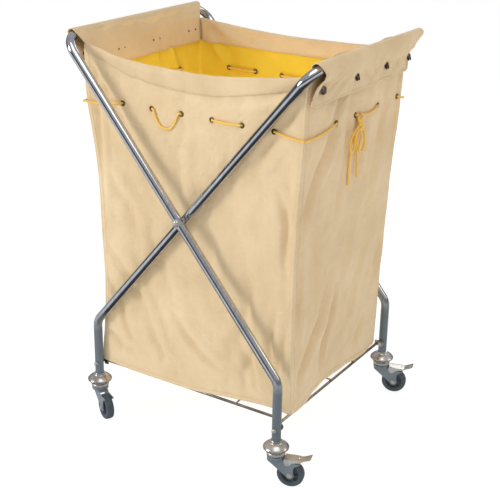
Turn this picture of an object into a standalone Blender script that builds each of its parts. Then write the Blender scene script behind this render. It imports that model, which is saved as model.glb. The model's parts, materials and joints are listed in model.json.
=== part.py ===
"""Folding linen trolley: two U-shaped tube frames crossed in an X, a canvas bag hung between
their handle bars, a wire rack under the bag and four swivel casters.

Metres, +Z up. +X runs along the face that shows the X, +Y to the back, and the origin is on
the floor under the middle of the pivot line. Frame A carries the left handle bar and the right
legs and stands outside frame B.
"""
import math

import bmesh
import bpy
from mathutils import Vector

# Driving dimensions of the two frames
TUBE_R = 0.011
TUBE_WALL = 0.0012
LEG_X = 0.274              # legs' distance from the middle plane
BAR_X = 0.321              # handle bars' distance from the middle plane
FRAME_A_Y = 0.2735         # half depth of the outer frame, tube axis
FRAME_B_Y = 0.2485         # half depth of the inner frame, tube axis
LEG_FOOT_Z = 0.110         # lower end of the legs, on the bumpers
LEG_BEND_Z = 0.262         # where leg and diagonal axes meet
BAR_Z = 0.976              # handle bars' axis
LEG_BEND_R = 0.040
BAR_BEND_R = 0.045
PIVOT_Z = LEG_BEND_Z + (BAR_Z - LEG_BEND_Z) * LEG_X / (LEG_X + BAR_X)
GAP = 0.0003               # kept between pieces that touch
HOLE_PLAY = 0.0004         # a pivot hole's radius past its pin's
TUBE_SIDES = 12
CUTTER_REACH = 0.03        # how far a hole's cutter runs past the tubes

# Fasteners
PIVOT_BOLT_R = 0.004
PIVOT_SLEEVE_R = 0.006
PIVOT_HEAD_R = 0.0085
LEG_BOLT_R = 0.003
LEG_BOLT_HEAD_R = 0.0058
LEG_BOLT_PLAY = 0.0006
LEG_NUT_THICK = 0.004
LEG_BOLT_Z = LEG_FOOT_Z + 0.033
PIVOT_FLANGE_R = 0.0080
PIVOT_FLANGE_THICK = 0.0024

# Wire rack
ROD_R = 0.0035
WIRE_R = 0.002
RACK_SIDE_Z = 0.1407       # left and right rods
RACK_END_Z = 0.1450        # front and back rods
RACK_RIGHT_X = 0.2635
RACK_LEFT_X = -0.262
RACK_END_Y = 0.232
TAB_R = 0.009
TAB_THICK = 0.003
TAB_TO_TUBE = 0.0025       # between a tab and the leg beside it
TAB_REACH = 0.007          # the tabs' reach past the side rods, inwards
TAB_RISE = 0.006           # the inner edge of a tab, above and below the bolt
TAB_FALL = 0.0078
TAB_HOLE_PLAY = 0.0005
ROD_INTO_TAB = 0.0005
WIRE_PAST_SIDE = 0.006     # the wires' reach past the rods they lie on
WIRE_PAST_END = 0.003
HOOK_SLOT_LENGTH = 0.03
HOOK_SLOT_LEAN = 23.0      # degrees from straight down
WIRE_PITCH_X = 0.138
WIRE_PITCH_Y = 0.118

# Bag
BAG_Y = 0.234              # outer face of the front and back panels
CLOTH = 0.006              # thickness of the stand-in panels
BAG_FLOOR_Z = 0.1535
BAG_TOP_Z = 0.930
BAG_BOTTOM_X = 0.276       # outer face of the side panels, bottom and top
BAG_TOP_X = 0.302
LINER_GAP = 0.0067
LINER_WALL = 0.002
LINER_TOP_Z = 0.900

# Handle bar sleeves
SLEEVE_IN_R = 0.0118
SLEEVE_OUT_R = 0.0143
SLEEVE_INNER_DROP = 0.071
SLEEVE_OUTER_DROP = 0.089

# Casters, in a frame whose origin is on the floor under the swivel axis, +X trailing
WHEEL_R = 0.0325
WHEEL_W = 0.020
WHEEL_TRAIL = 0.037
CHEEK_IN_Y = 0.0108
CHEEK_OUT_Y = 0.0125
AXLE_R = 0.004
FORK_TOP_Z = 0.0775
RACE_Z = 0.0780
BUMPER_Z = 0.0872
PEDAL_PIVOT = (0.031, 0.0605)
CASTER_YAW = {"fr": 17.0, "br": 17.0, "fl": -28.0, "bl": 172.0}
CORNERS = {
    "fr": (LEG_X, -FRAME_A_Y, "a"),
    "br": (LEG_X, FRAME_A_Y, "a"),
    "fl": (-LEG_X, -FRAME_B_Y, "b"),
    "bl": (-LEG_X, FRAME_B_Y, "b"),
}

# Drawstring
CORD_R = 0.0025
CORD_OFFSET = 0.006        # cord axis to the middle of the cloth
EYELET_R = 0.0064
EYELET_Z = 0.832
FRONT_EYELETS = (-0.185, -0.102, -0.020, 0.063, 0.142, 0.223)
BACK_EYELETS = (0.223, 0.128, 0.046, -0.038, -0.118, -0.200)
LEFT_EYELETS = (0.133, -0.133)
RIGHT_EYELETS = (-0.096, -0.009, 0.102, 0.205)
KNOT_Y = 0.003
KNOT_HALF = 0.004          # the string's two ends stop this far from the knot's middle
KNOT_LIFT = 0.001          # and stand this much further off the cloth
CORNER_SAG = 0.011
LOOP_SAG = 0.040
STRAIGHT_SAG = 0.0015
KNOT_SAG = 0.009


# ---------------------------------------------------------------- materials
def material(name, colour, roughness, metallic):
    mat = bpy.data.materials.new(name)
    mat.use_nodes = True
    shader = mat.node_tree.nodes["Principled BSDF"]
    shader.inputs["Base Color"].default_value = (*colour, 1.0)
    shader.inputs["Roughness"].default_value = roughness
    shader.inputs["Metallic"].default_value = metallic
    return mat


# ---------------------------------------------------------------- mesh helpers
def finish(bm, name, mat, parent=None, location=(0, 0, 0), sharp=35.0):
    bmesh.ops.recalc_face_normals(bm, faces=bm.faces)
    mesh = bpy.data.meshes.new(name)
    bm.to_mesh(mesh)
    bm.free()
    mesh.shade_smooth()
    mesh.set_sharp_from_angle(angle=math.radians(sharp))
    mesh.materials.append(mat)
    return place(mesh, name, parent, location)


def place(mesh, name, parent=None, location=(0, 0, 0)):
    obj = bpy.data.objects.new(name, mesh)
    bpy.context.collection.objects.link(obj)
    obj.parent = parent
    obj.location = location
    return obj


def joint_empty(name, location, parent=None, yaw=0.0):
    empty = bpy.data.objects.new(name, None)
    bpy.context.collection.objects.link(empty)
    empty.parent = parent
    empty.location = location
    empty.rotation_euler = (0.0, 0.0, math.radians(yaw))
    empty.empty_display_size = 0.03
    return empty


def ring(bm, centre, u, v, radius, sides):
    step = 2.0 * math.pi / sides
    return [bm.verts.new(centre + radius * (math.cos(i * step) * u + math.sin(i * step) * v))
            for i in range(sides)]


def bridge(bm, first, second):
    count = len(first)
    for i in range(count):
        j = (i + 1) % count
        bm.faces.new((first[i], first[j], second[j], second[i]))


def rounded_path(corners, radii, step=math.radians(13)):
    """Points along a polyline whose inner corners are turned into arcs."""
    points = [Vector(corners[0])]
    for before, corner, after, radius in zip(corners, corners[1:], corners[2:], radii):
        corner = Vector(corner)
        arrive = (corner - Vector(before)).normalized()
        leave = (Vector(after) - corner).normalized()
        turn = arrive.angle(leave)
        start = corner - arrive * radius * math.tan(turn / 2)
        inward = (leave - arrive * leave.dot(arrive)).normalized()
        count = max(2, math.ceil(turn / step))
        for i in range(count + 1):
            angle = turn * i / count
            points.append(start + radius * (math.sin(angle) * arrive
                                            + (1 - math.cos(angle)) * inward))
    points.append(Vector(corners[-1]))
    return points


def swept_tube(name, points, radius, bore, mat, parent, sides=TUBE_SIDES):
    """A hollow tube, open at both ends, along a list of points."""
    bm = bmesh.new()
    tangents = []
    for i, point in enumerate(points):
        ahead = points[min(i + 1, len(points) - 1)]
        behind = points[max(i - 1, 0)]
        tangents.append((ahead - behind).normalized())
    u = Vector((0, 1, 0))
    outer, inner = [], []
    for point, tangent in zip(points, tangents):
        u = (u - tangent * u.dot(tangent)).normalized()
        v = tangent.cross(u)
        outer.append(ring(bm, point, u, v, radius, sides))
        inner.append(ring(bm, point, u, v, bore, sides))
    for skin in (outer, inner):
        for first, second in zip(skin, skin[1:]):
            bridge(bm, first, second)
    bridge(bm, outer[0], inner[0])
    bridge(bm, outer[-1], inner[-1])
    return finish(bm, name, mat, parent, -parent.location)


def turned(name, profile, mat, parent=None, location=(0, 0, 0), sides=16, axis="Z"):
    """A body of revolution; the profile is a closed list of (radius, height)."""
    bm = bmesh.new()
    u, v, along = {
        "Z": (Vector((1, 0, 0)), Vector((0, 1, 0)), Vector((0, 0, 1))),
        "Y": (Vector((1, 0, 0)), Vector((0, 0, 1)), Vector((0, 1, 0))),
    }[axis]
    rings = []
    for radius, height in profile:
        if radius < 1e-9:
            rings.append([bm.verts.new(along * height)])
        else:
            rings.append(ring(bm, along * height, u, v, radius, sides))
    for first, second in zip(rings, rings[1:] + rings[:1]):
        if len(first) == 1 and len(second) == 1:
            continue
        if len(first) == 1 or len(second) == 1:
            tip, rim = (first, second) if len(first) == 1 else (second, first)
            for i in range(sides):
                bm.faces.new((tip[0], rim[i], rim[(i + 1) % sides]))
        else:
            bridge(bm, first, second)
    return finish(bm, name, mat, parent, location)


def rod(name, start, end, radius, mat, parent, sides=8):
    """A straight round rod with flat ends."""
    bm = bmesh.new()
    start, end = Vector(start), Vector(end)
    along = (end - start).normalized()
    u = along.orthogonal().normalized()
    v = along.cross(u)
    first = ring(bm, start, u, v, radius, sides)
    second = ring(bm, end, u, v, radius, sides)
    bridge(bm, first, second)
    bm.faces.new(first)
    bm.faces.new(second)
    return finish(bm, name, mat, parent, -parent.location if parent else (0, 0, 0))


def slab(name, outline, axis, low, high, mat, parent=None, location=(0, 0, 0)):
    """A flat outline pushed along an axis. The outline's points are given in the other two
    axes, in X, Y, Z order."""
    bm = bmesh.new()
    index = "XYZ".index(axis)

    def vertex(point, level):
        coords = list(point)
        coords.insert(index, level)
        return bm.verts.new(coords)

    first = [vertex(point, low) for point in outline]
    second = [vertex(point, high) for point in outline]
    bridge(bm, first, second)
    bm.faces.new(first)
    bm.faces.new(second)
    return finish(bm, name, mat, parent, location)


def arc(centre, radius, start, end, count):
    """Points on an arc in a plane, angles in degrees."""
    points = []
    for i in range(count + 1):
        angle = math.radians(start + (end - start) * i / count)
        points.append((centre[0] + radius * math.cos(angle), centre[1] + radius * math.sin(angle)))
    return points


def box(name, low, high, mat, parent=None, location=(0, 0, 0)):
    outline = [(low[0], low[1]), (high[0], low[1]), (high[0], high[1]), (low[0], high[1])]
    return slab(name, outline, "Z", low[2], high[2], mat, parent, location)


def use(target, tool, operation):
    """Cuts the tool from the target, or joins it to the target."""
    tool.hide_render = True
    tool.display_type = "WIRE"
    modifier = target.modifiers.new(tool.name, "BOOLEAN")
    modifier.operation = operation
    modifier.solver = "EXACT"
    modifier.object = tool


def holes_along_y(name, spots, radius, reach, mat, sides=12):
    """One cutter with a cylinder along Y through each (x, z) spot."""
    bm = bmesh.new()
    for x, z in spots:
        ends = [ring(bm, Vector((x, y, z)), Vector((1, 0, 0)), Vector((0, 0, 1)), radius, sides)
                for y in reach]
        bridge(bm, ends[0], ends[1])
        bm.faces.new(ends[0])
        bm.faces.new(ends[1])
    return finish(bm, name, mat)


def holes_along_x(name, spots, radius, reach, mat, sides=12):
    """One cutter with a cylinder along X through each (y, z) spot."""
    bm = bmesh.new()
    for y, z in spots:
        ends = [ring(bm, Vector((x, y, z)), Vector((0, 1, 0)), Vector((0, 0, 1)), radius, sides)
                for x in reach]
        bridge(bm, ends[0], ends[1])
        bm.faces.new(ends[0])
        bm.faces.new(ends[1])
    return finish(bm, name, mat)


def settled_mesh(obj, name):
    """The mesh of an object with its modifiers applied, for sharing between copies."""
    bpy.context.view_layer.update()
    evaluated = obj.evaluated_get(bpy.context.evaluated_depsgraph_get())
    mesh = bpy.data.meshes.new_from_object(evaluated)
    mesh.name = name
    bpy.data.objects.remove(obj)
    return mesh


# ---------------------------------------------------------------- frames
def frame_tube(name, side, half_depth, pivot_hole_r, mats, parent):
    """One U: leg, diagonal, handle bar, diagonal, leg. side is +1 when the bar is at +X."""
    bar_x, leg_x = side * BAR_X, -side * LEG_X
    corners = [
        (leg_x, -half_depth, LEG_FOOT_Z), (leg_x, -half_depth, LEG_BEND_Z),
        (bar_x, -half_depth, BAR_Z), (bar_x, half_depth, BAR_Z),
        (leg_x, half_depth, LEG_BEND_Z), (leg_x, half_depth, LEG_FOOT_Z),
    ]
    path = rounded_path(corners, [LEG_BEND_R, BAR_BEND_R, BAR_BEND_R, LEG_BEND_R])
    tube = swept_tube(name, path, TUBE_R, TUBE_R - TUBE_WALL, mats["chrome"], parent)
    reach = (-half_depth - CUTTER_REACH, half_depth + CUTTER_REACH)
    pivot = holes_along_y(name + "_pivot_holes", [(0.0, PIVOT_Z)], pivot_hole_r, reach,
                          mats["chrome"])
    use(tube, pivot, "DIFFERENCE")
    bolts = holes_along_y(name + "_bolt_holes", [(leg_x, LEG_BOLT_Z)], LEG_BOLT_R + LEG_BOLT_PLAY,
                          reach, mats["chrome"], sides=8)
    use(tube, bolts, "DIFFERENCE")
    return tube


def pivot_pieces(end, side, mats):
    """The bolt through both tubes and the sleeve nut that spaces them, at the front or back."""
    outer = FRAME_A_Y + TUBE_R + GAP
    inner = FRAME_B_Y - TUBE_R - GAP
    facing = FRAME_A_Y - TUBE_R - GAP
    head = [(0, outer + 0.0055), (0.004, outer + 0.0052), (0.0072, outer + 0.0036),
            (PIVOT_HEAD_R, outer + 0.001), (PIVOT_HEAD_R, outer)]
    tip = inner + 0.002
    bolt = head + [(PIVOT_BOLT_R, outer), (PIVOT_BOLT_R, tip), (0, tip)]
    flange_r = PIVOT_FLANGE_R
    bore = PIVOT_BOLT_R + GAP
    face = inner - PIVOT_FLANGE_THICK
    nut = [(bore, facing), (PIVOT_SLEEVE_R, facing), (PIVOT_SLEEVE_R, inner),
           (flange_r, inner), (flange_r, face + 0.0006), (flange_r - 0.001, face),
           (0, face), (0, tip - GAP), (bore, tip - GAP)]
    place_y = {"front": -1.0, "back": 1.0}[side]
    for name, profile in (("pivot_bolt_" + side, bolt), ("pivot_nut_" + side, nut)):
        flipped = [(radius, place_y * y) for radius, y in profile]
        turned(name, flipped, mats["zinc"], end, (0, 0, 0), sides=12, axis="Y")


def leg_bolt(corner, mats, parent):
    """A cap-headed bolt through a leg, its nut on the rack's tab inside."""
    x, y, frame = CORNERS[corner]
    sign = math.copysign(1.0, y)
    outer = abs(y) + TUBE_R + GAP
    tab_inner = rack_tab_y(frame)[0] - GAP
    profile = [
        (0, outer + 0.0060), (0.0030, outer + 0.0056), (0.0050, outer + 0.0040),
        (LEG_BOLT_HEAD_R, outer + 0.0015), (LEG_BOLT_HEAD_R, outer), (LEG_BOLT_R, outer),
        (LEG_BOLT_R, tab_inner), (LEG_BOLT_HEAD_R, tab_inner),
        (LEG_BOLT_HEAD_R, tab_inner - LEG_NUT_THICK), (0, tab_inner - LEG_NUT_THICK),
    ]
    flipped = [(radius, sign * level) for radius, level in profile]
    turned("leg_bolt_" + corner, flipped, mats["zinc"], parent,
           Vector((x, 0, LEG_BOLT_Z)) - parent.location, sides=10, axis="Y")


# ---------------------------------------------------------------- rack
def rack_tab_y(frame):
    """Inner and outer faces of the rack's tabs beside frame A's or frame B's legs."""
    frame_y = {"a": FRAME_A_Y, "b": FRAME_B_Y}[frame]
    outer = frame_y - TUBE_R - TAB_TO_TUBE
    return outer - TAB_THICK, outer


def rack(mats, parent):
    wire = mats["rack_wire"]
    at = -parent.location
    right_y, left_y = rack_tab_y("a"), rack_tab_y("b")
    right_end, left_end = right_y[1] - ROD_INTO_TAB, left_y[1] - ROD_INTO_TAB
    right = rod("rack_rod_right", (RACK_RIGHT_X, -right_end, RACK_SIDE_Z),
                (RACK_RIGHT_X, right_end, RACK_SIDE_Z), ROD_R, wire, parent, 10)
    left = rod("rack_rod_left", (RACK_LEFT_X, -left_end, RACK_SIDE_Z),
               (RACK_LEFT_X, left_end, RACK_SIDE_Z), ROD_R, wire, parent, 10)
    for sign, side in ((-1, "front"), (1, "back")):
        eye = arc((LEG_X, LEG_BOLT_Z), TAB_R, -120, 120, 10)
        eye += [(RACK_RIGHT_X - TAB_REACH, LEG_BOLT_Z + TAB_RISE),
                (RACK_RIGHT_X - TAB_REACH, LEG_BOLT_Z - TAB_FALL)]
        lows = sorted(sign * y for y in right_y)
        tab = slab("rack_eye_" + side, eye, "Y", lows[0], lows[1], wire, parent, at)
        use(right, tab, "UNION")
        hook = arc((-LEG_X, LEG_BOLT_Z), TAB_R, 240, 60, 10)
        hook += [(RACK_LEFT_X + TAB_REACH, LEG_BOLT_Z + TAB_RISE),
                 (RACK_LEFT_X + TAB_REACH, LEG_BOLT_Z - TAB_FALL)]
        lows = sorted(sign * y for y in left_y)
        tab = slab("rack_hook_" + side, hook, "Y", lows[0], lows[1], wire, parent, at)
        use(left, tab, "UNION")
        y = sign * RACK_END_Y
        rod("rack_rod_" + side, (RACK_LEFT_X + TAB_REACH + GAP, y, RACK_END_Z),
            (RACK_RIGHT_X - ROD_R - GAP, y, RACK_END_Z), ROD_R, wire, parent)
    reach = (-right_y[1] - TAB_THICK, right_y[1] + TAB_THICK)
    eye_holes = holes_along_y("rack_eye_holes", [(LEG_X, LEG_BOLT_Z)],
                              LEG_BOLT_R + TAB_HOLE_PLAY, reach, wire)
    use(right, eye_holes, "DIFFERENCE")
    slot = hook_slot("rack_hook_slots", reach, wire)
    use(left, slot, "DIFFERENCE")
    for i in (-1, 0, 1):
        x, y = i * WIRE_PITCH_X, i * WIRE_PITCH_Y
        name = {-1: "1", 0: "2", 1: "3"}[i]
        long_z = RACK_SIDE_Z + ROD_R + WIRE_R + GAP
        rod("rack_wire_long_" + name, (RACK_LEFT_X - WIRE_PAST_SIDE, y, long_z),
            (RACK_RIGHT_X + WIRE_PAST_SIDE, y, long_z), WIRE_R, wire, parent)
        cross_z = RACK_END_Z + ROD_R + WIRE_R + GAP
        rod("rack_wire_cross_" + name, (x, -RACK_END_Y - WIRE_PAST_END, cross_z),
            (x, RACK_END_Y + WIRE_PAST_END, cross_z), WIRE_R, wire, parent)


def hook_slot(name, reach, mat):
    """A slot that leaves the bolt downwards and towards +X, the way the stub moves off."""
    half = LEG_BOLT_R + LEG_BOLT_PLAY
    lean = math.radians(HOOK_SLOT_LEAN - 90)
    along = Vector((math.cos(lean), math.sin(lean)))
    across = Vector((-along.y, along.x))
    centre = Vector((-LEG_X, LEG_BOLT_Z))
    outline = arc(centre, half, math.degrees(lean) + 90, math.degrees(lean) + 270, 8)
    for side in (-1, 1):
        outline.append(tuple(centre + along * HOOK_SLOT_LENGTH + across * half * side))
    return slab(name, outline, "Y", reach[0], reach[1], mat)


# ---------------------------------------------------------------- bag
def side_face_x(z):
    """Outer face of the bag's right side panel at a height."""
    share = (z - BAG_FLOOR_Z) / (BAG_TOP_Z - BAG_FLOOR_Z)
    return BAG_BOTTOM_X + share * (BAG_TOP_X - BAG_BOTTOM_X)


def bag(mats, parent):
    canvas, at = mats["canvas"], -parent.location
    wall_z = BAG_FLOOR_Z + CLOTH + GAP
    low_in, top_in = side_face_x(wall_z) - CLOTH - GAP, BAG_TOP_X - CLOTH - GAP
    outline = [(-low_in, wall_z), (low_in, wall_z), (top_in, BAG_TOP_Z), (-top_in, BAG_TOP_Z)]
    for side, low, spots in (("front", -BAG_Y, FRONT_EYELETS),
                             ("back", BAG_Y - CLOTH, BACK_EYELETS)):
        panel = slab("bag_" + side, outline, "Y", low, low + CLOTH, canvas, parent, at)
        cutter = holes_along_y("eyelets_" + side, [(x, EYELET_Z) for x in spots], EYELET_R,
                               (low - CLOTH, low + 2 * CLOTH), canvas, sides=8)
        use(panel, cutter, "DIFFERENCE")
    for side, sign, spots in (("left", -1, LEFT_EYELETS), ("right", 1, RIGHT_EYELETS)):
        outline = [(sign * (side_face_x(wall_z) - CLOTH), wall_z),
                   (sign * side_face_x(wall_z), wall_z),
                   (sign * BAG_TOP_X, BAG_TOP_Z), (sign * (BAG_TOP_X - CLOTH), BAG_TOP_Z)]
        panel = slab("bag_" + side, outline, "Y", -BAG_Y, BAG_Y, canvas, parent, at)
        middle = sign * side_face_x(EYELET_Z)
        cutter = holes_along_x("eyelets_" + side, [(y, EYELET_Z) for y in spots], EYELET_R,
                               (middle - 3 * CLOTH, middle + 3 * CLOTH), canvas, 8)
        use(panel, cutter, "DIFFERENCE")
    floor_x = BAG_BOTTOM_X
    box("bag_bottom", (-floor_x, -BAG_Y, BAG_FLOOR_Z), (floor_x, BAG_Y, BAG_FLOOR_Z + CLOTH),
        canvas, parent, at)
    liner(mats, parent, wall_z)


def liner(mats, parent, floor_z):
    """The inner bag: a thin tub, open at the top, just inside the canvas."""
    bm = bmesh.new()
    shells = []
    for inset, low in ((0.0, floor_z), (LINER_WALL, floor_z + LINER_WALL)):
        half_y = BAG_Y - CLOTH - LINER_GAP - inset
        loops = []
        for z in (low, LINER_TOP_Z):
            half_x = side_face_x(z) - CLOTH - LINER_GAP - inset
            loops.append([bm.verts.new((x, y, z)) for x, y in (
                (-half_x, -half_y), (half_x, -half_y), (half_x, half_y), (-half_x, half_y))])
        bridge(bm, loops[0], loops[1])
        bm.faces.new(loops[0])
        shells.append(loops)
    bridge(bm, shells[0][1], shells[1][1])
    finish(bm, "bag_liner", mats["liner"], parent, -parent.location)


def sleeve(name, side, half_length, mats, parent):
    """The canvas flap that wraps a handle bar: down inside a little, down outside further."""
    bar = (side * BAR_X, BAR_Z)
    outer = arc(bar, SLEEVE_OUT_R, 180, 0, 12)
    inner = arc(bar, SLEEVE_IN_R, 0, 180, 12)
    if side < 0:
        outer, inner = outer[::-1], inner[::-1]
    inside, outside = BAR_Z - SLEEVE_INNER_DROP, BAR_Z - SLEEVE_OUTER_DROP
    outline = [(outer[0][0], inside)] + outer + [(outer[-1][0], outside),
                                                (inner[0][0], outside)]
    outline += inner + [(inner[-1][0], inside)]
    slab(name, outline, "Y", -half_length, half_length, mats["canvas"], parent,
         -parent.location)


# ---------------------------------------------------------------- drawstring
def face_point(face, along, lift, z):
    """A point on one of the bag's faces: lift is the distance outwards from mid-cloth."""
    middle = BAG_Y - CLOTH / 2
    side = side_face_x(z) - CLOTH / 2
    return {
        "front": Vector((along, -middle - lift, z)),
        "back": Vector((along, middle + lift, z)),
        "right": Vector((side + lift, along, z)),
        "left": Vector((-side - lift, along, z)),
    }[face]


def through_eyelet(face, along, travel, outwards):
    """The cord's S through one eyelet; travel is the sign of its direction along the face."""
    start = -1.0 if outwards else 1.0
    half = CORD_OFFSET * math.sin(math.radians(45))
    near = CORD_OFFSET - half
    steps = ((-CORD_OFFSET, start * CORD_OFFSET), (-near, start * half), (0.0, 0.0),
             (near, -start * half), (CORD_OFFSET, -start * CORD_OFFSET))
    return [face_point(face, along + travel * shift, lift, EYELET_Z) for shift, lift in steps]


def sagging(first, last, sag, count, fullness=2.0):
    """Points between two ends, hanging by sag in the middle; more fullness makes more of a U."""
    points = []
    for i in range(1, count):
        share = i / count
        point = first.lerp(last, share)
        point.z -= sag * (1 - abs(2 * share - 1) ** fullness)
        points.append(point)
    return points


def round_corner(first, last, corner, sag):
    """Points outside the bag round one of its upright edges, hanging a little."""
    radius = CORD_OFFSET - CLOTH / 2
    back, on = (first - corner).normalized(), (last - corner).normalized()
    near, beyond = corner + back * radius, corner + on * radius
    middle = corner + (back + on) * radius * (1 - math.sqrt(0.5))
    points = [first.lerp(near, 1 / 3), first.lerp(near, 2 / 3), near, middle, beyond,
              beyond.lerp(last, 1 / 3), beyond.lerp(last, 2 / 3)]
    reach = (near - first).length
    total = reach + (last - beyond).length
    walked = (reach / 3, reach * 2 / 3, reach, reach, reach,
              reach + (total - reach) / 3, reach + (total - reach) * 2 / 3)
    for point, distance in zip(points, walked):
        share = distance / total
        point.z -= 4 * sag * share * (1 - share)
    return points


def face_run(face, eyelets, travel, loop_before):
    """The string through a face's eyelets, in first; loop_before is the one it loops down to."""
    run = []
    for i, along in enumerate(eyelets):
        step = through_eyelet(face, along, travel, i % 2 == 1)
        if i == loop_before:
            run += sagging(run[-1], step[0], LOOP_SAG, 10, 2.6)
        elif i and i % 2 == 0:
            run += sagging(run[-1], step[0], STRAIGHT_SAG, 4)
        run += step
    return run


def drawstring_route():
    """From the knot on the right side, round the back, the left side and the front to it."""
    z = EYELET_Z
    edge_x = side_face_x(z) - CLOTH / 2 + CORD_OFFSET
    edge_y = BAG_Y - CLOTH / 2 + CORD_OFFSET
    lift = CORD_OFFSET + KNOT_LIFT
    route = [face_point("right", KNOT_Y + KNOT_HALF, lift, z)]
    step = through_eyelet("right", RIGHT_EYELETS[2], 1, False)
    route += sagging(route[0], step[0], KNOT_SAG, 7) + step
    route += through_eyelet("right", RIGHT_EYELETS[3], 1, True)
    back = face_run("back", BACK_EYELETS, -1, 4)
    route += round_corner(route[-1], back[0], Vector((edge_x, edge_y, z)), CORNER_SAG) + back
    left = through_eyelet("left", LEFT_EYELETS[0], -1, False)
    route += round_corner(route[-1], left[0], Vector((-edge_x, edge_y, z)), CORNER_SAG) + left
    route += through_eyelet("left", LEFT_EYELETS[1], -1, True)
    front = face_run("front", FRONT_EYELETS, 1, 2)
    route += round_corner(route[-1], front[0], Vector((-edge_x, -edge_y, z)), CORNER_SAG) + front
    right = through_eyelet("right", RIGHT_EYELETS[0], 1, False)
    route += round_corner(route[-1], right[0], Vector((edge_x, -edge_y, z)), CORNER_SAG) + right
    route += through_eyelet("right", RIGHT_EYELETS[1], 1, True)[:-1]
    route.append(face_point("right", KNOT_Y - KNOT_HALF, lift, z))
    return route


# The bow's cords hang free from the knot: (distance from the cloth, y, height) by hand
BOW_ROUTES = {
    "bow_loop_front": (
        (0.0095, -0.0080, 0.8060), (0.0096, -0.0165, 0.8010), (0.0098, -0.0280, 0.7945),
        (0.0098, -0.0370, 0.7850), (0.0096, -0.0400, 0.7740), (0.0094, -0.0395, 0.7630),
        (0.0092, -0.0350, 0.7545), (0.0092, -0.0270, 0.7510), (0.0092, -0.0200, 0.7560),
        (0.0094, -0.0180, 0.7650), (0.0096, -0.0185, 0.7760), (0.0097, -0.0165, 0.7870),
        (0.0096, -0.0100, 0.7950), (0.0095, -0.0030, 0.7995)),
    "bow_loop_back": (
        (0.0095, 0.0085, 0.8050), (0.0096, 0.0165, 0.7970), (0.0098, 0.0250, 0.7840),
        (0.0098, 0.0300, 0.7690), (0.0096, 0.0305, 0.7560), (0.0093, 0.0260, 0.7455),
        (0.0092, 0.0165, 0.7410), (0.0092, 0.0080, 0.7450), (0.0093, 0.0055, 0.7540),
        (0.0095, 0.0085, 0.7640), (0.0097, 0.0120, 0.7740), (0.0097, 0.0105, 0.7850),
        (0.0096, 0.0065, 0.7930), (0.0095, 0.0030, 0.7990)),
    "bow_tail_front": (
        (0.0038, -0.0045, 0.8030), (0.0037, -0.0110, 0.7880), (0.0036, -0.0190, 0.7720),
        (0.0036, -0.0240, 0.7560), (0.0036, -0.0258, 0.7400), (0.0036, -0.0262, 0.7220),
        (0.0036, -0.0262, 0.7040), (0.0036, -0.0252, 0.6870), (0.0036, -0.0235, 0.6700)),
    "bow_tail_back": (
        (0.0038, 0.0020, 0.8020), (0.0037, 0.0005, 0.7850), (0.0036, 0.0020, 0.7665),
        (0.0036, 0.0062, 0.7480), (0.0036, 0.0102, 0.7310), (0.0036, 0.0120, 0.7140),
        (0.0036, 0.0140, 0.6960), (0.0036, 0.0175, 0.6780)),
}


def smooth_points(route, per_span=3):
    """Catmull-Rom points through a route."""
    padded = [route[0] * 2 - route[1]] + list(route) + [route[-1] * 2 - route[-2]]
    points = []
    for a, b, c, d in zip(padded, padded[1:], padded[2:], padded[3:]):
        for i in range(per_span):
            t = i / per_span
            points.append(0.5 * (2 * b + (c - a) * t + (2 * a - 5 * b + 4 * c - d) * t * t
                                 + (3 * b - a - 3 * c + d) * t * t * t))
    points.append(route[-1])
    return points


def cord(name, points, mat, parent):
    curve = bpy.data.curves.new(name, "CURVE")
    curve.dimensions = "3D"
    curve.bevel_depth = CORD_R
    curve.bevel_resolution = 2
    curve.use_fill_caps = True
    spline = curve.splines.new("POLY")
    spline.points.add(len(points) - 1)
    for control, point in zip(spline.points, points):
        control.co = (*point, 1.0)
    curve.materials.append(mat)
    return place(curve, name, parent, -parent.location)


def drawstring(mats, parent):
    cord("drawstring", drawstring_route(), mats["cord"], parent)
    for name, steps in BOW_ROUTES.items():
        route = [face_point("right", y, CLOTH / 2 + lift, z) for lift, y, z in steps]
        cord(name, smooth_points(route, 2), mats["cord"], parent)


# ---------------------------------------------------------------- casters
def fork_mesh(mats):
    """Stamped fork: two cheeks under a turntable disc with the kingpin's hole."""
    axle = (WHEEL_TRAIL, WHEEL_R)
    top = 0.0708
    outline = [(-0.0185, top), (-0.0175, 0.0655)]
    outline += arc(axle, 0.0100, 205, 350, 8)
    outline += [(axle[0] + 0.0075, 0.0450), (axle[0] + 0.0090, 0.0545),
                (axle[0] + 0.0150, 0.0600), (axle[0] + 0.0220, 0.0625),
                (axle[0] + 0.0220, 0.0655), (0.0245, 0.0660), (0.0235, top)]
    fork = slab("fork", outline, "Y", -CHEEK_OUT_Y, CHEEK_OUT_Y, mats["fork_steel"])
    slot = box("fork_slot", (-0.05, -CHEEK_IN_Y, -0.01), (0.10, CHEEK_IN_Y, 0.0672),
               mats["fork_steel"])
    use(fork, slot, "DIFFERENCE")
    holes = holes_along_y("fork_axle_hole", [axle], AXLE_R + GAP, (-0.02, 0.02),
                          mats["fork_steel"])
    use(fork, holes, "DIFFERENCE")
    disc = turned("fork_disc", [(0, 0.0676), (0.0175, 0.0676), (0.0205, 0.0700),
                                (0.0205, FORK_TOP_Z), (0, FORK_TOP_Z)],
                  mats["fork_steel"], sides=20)
    use(fork, disc, "UNION")
    kingpin = turned("fork_kingpin_hole", [(0, 0.060), (0.0053, 0.060), (0.0053, 0.080),
                                           (0, 0.080)], mats["fork_steel"], sides=12)
    use(fork, kingpin, "DIFFERENCE")
    tools = [slot, holes, disc, kingpin]
    mesh = settled_mesh(fork, "caster_fork")
    for tool in tools:
        bpy.data.objects.remove(tool)
    return mesh


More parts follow.
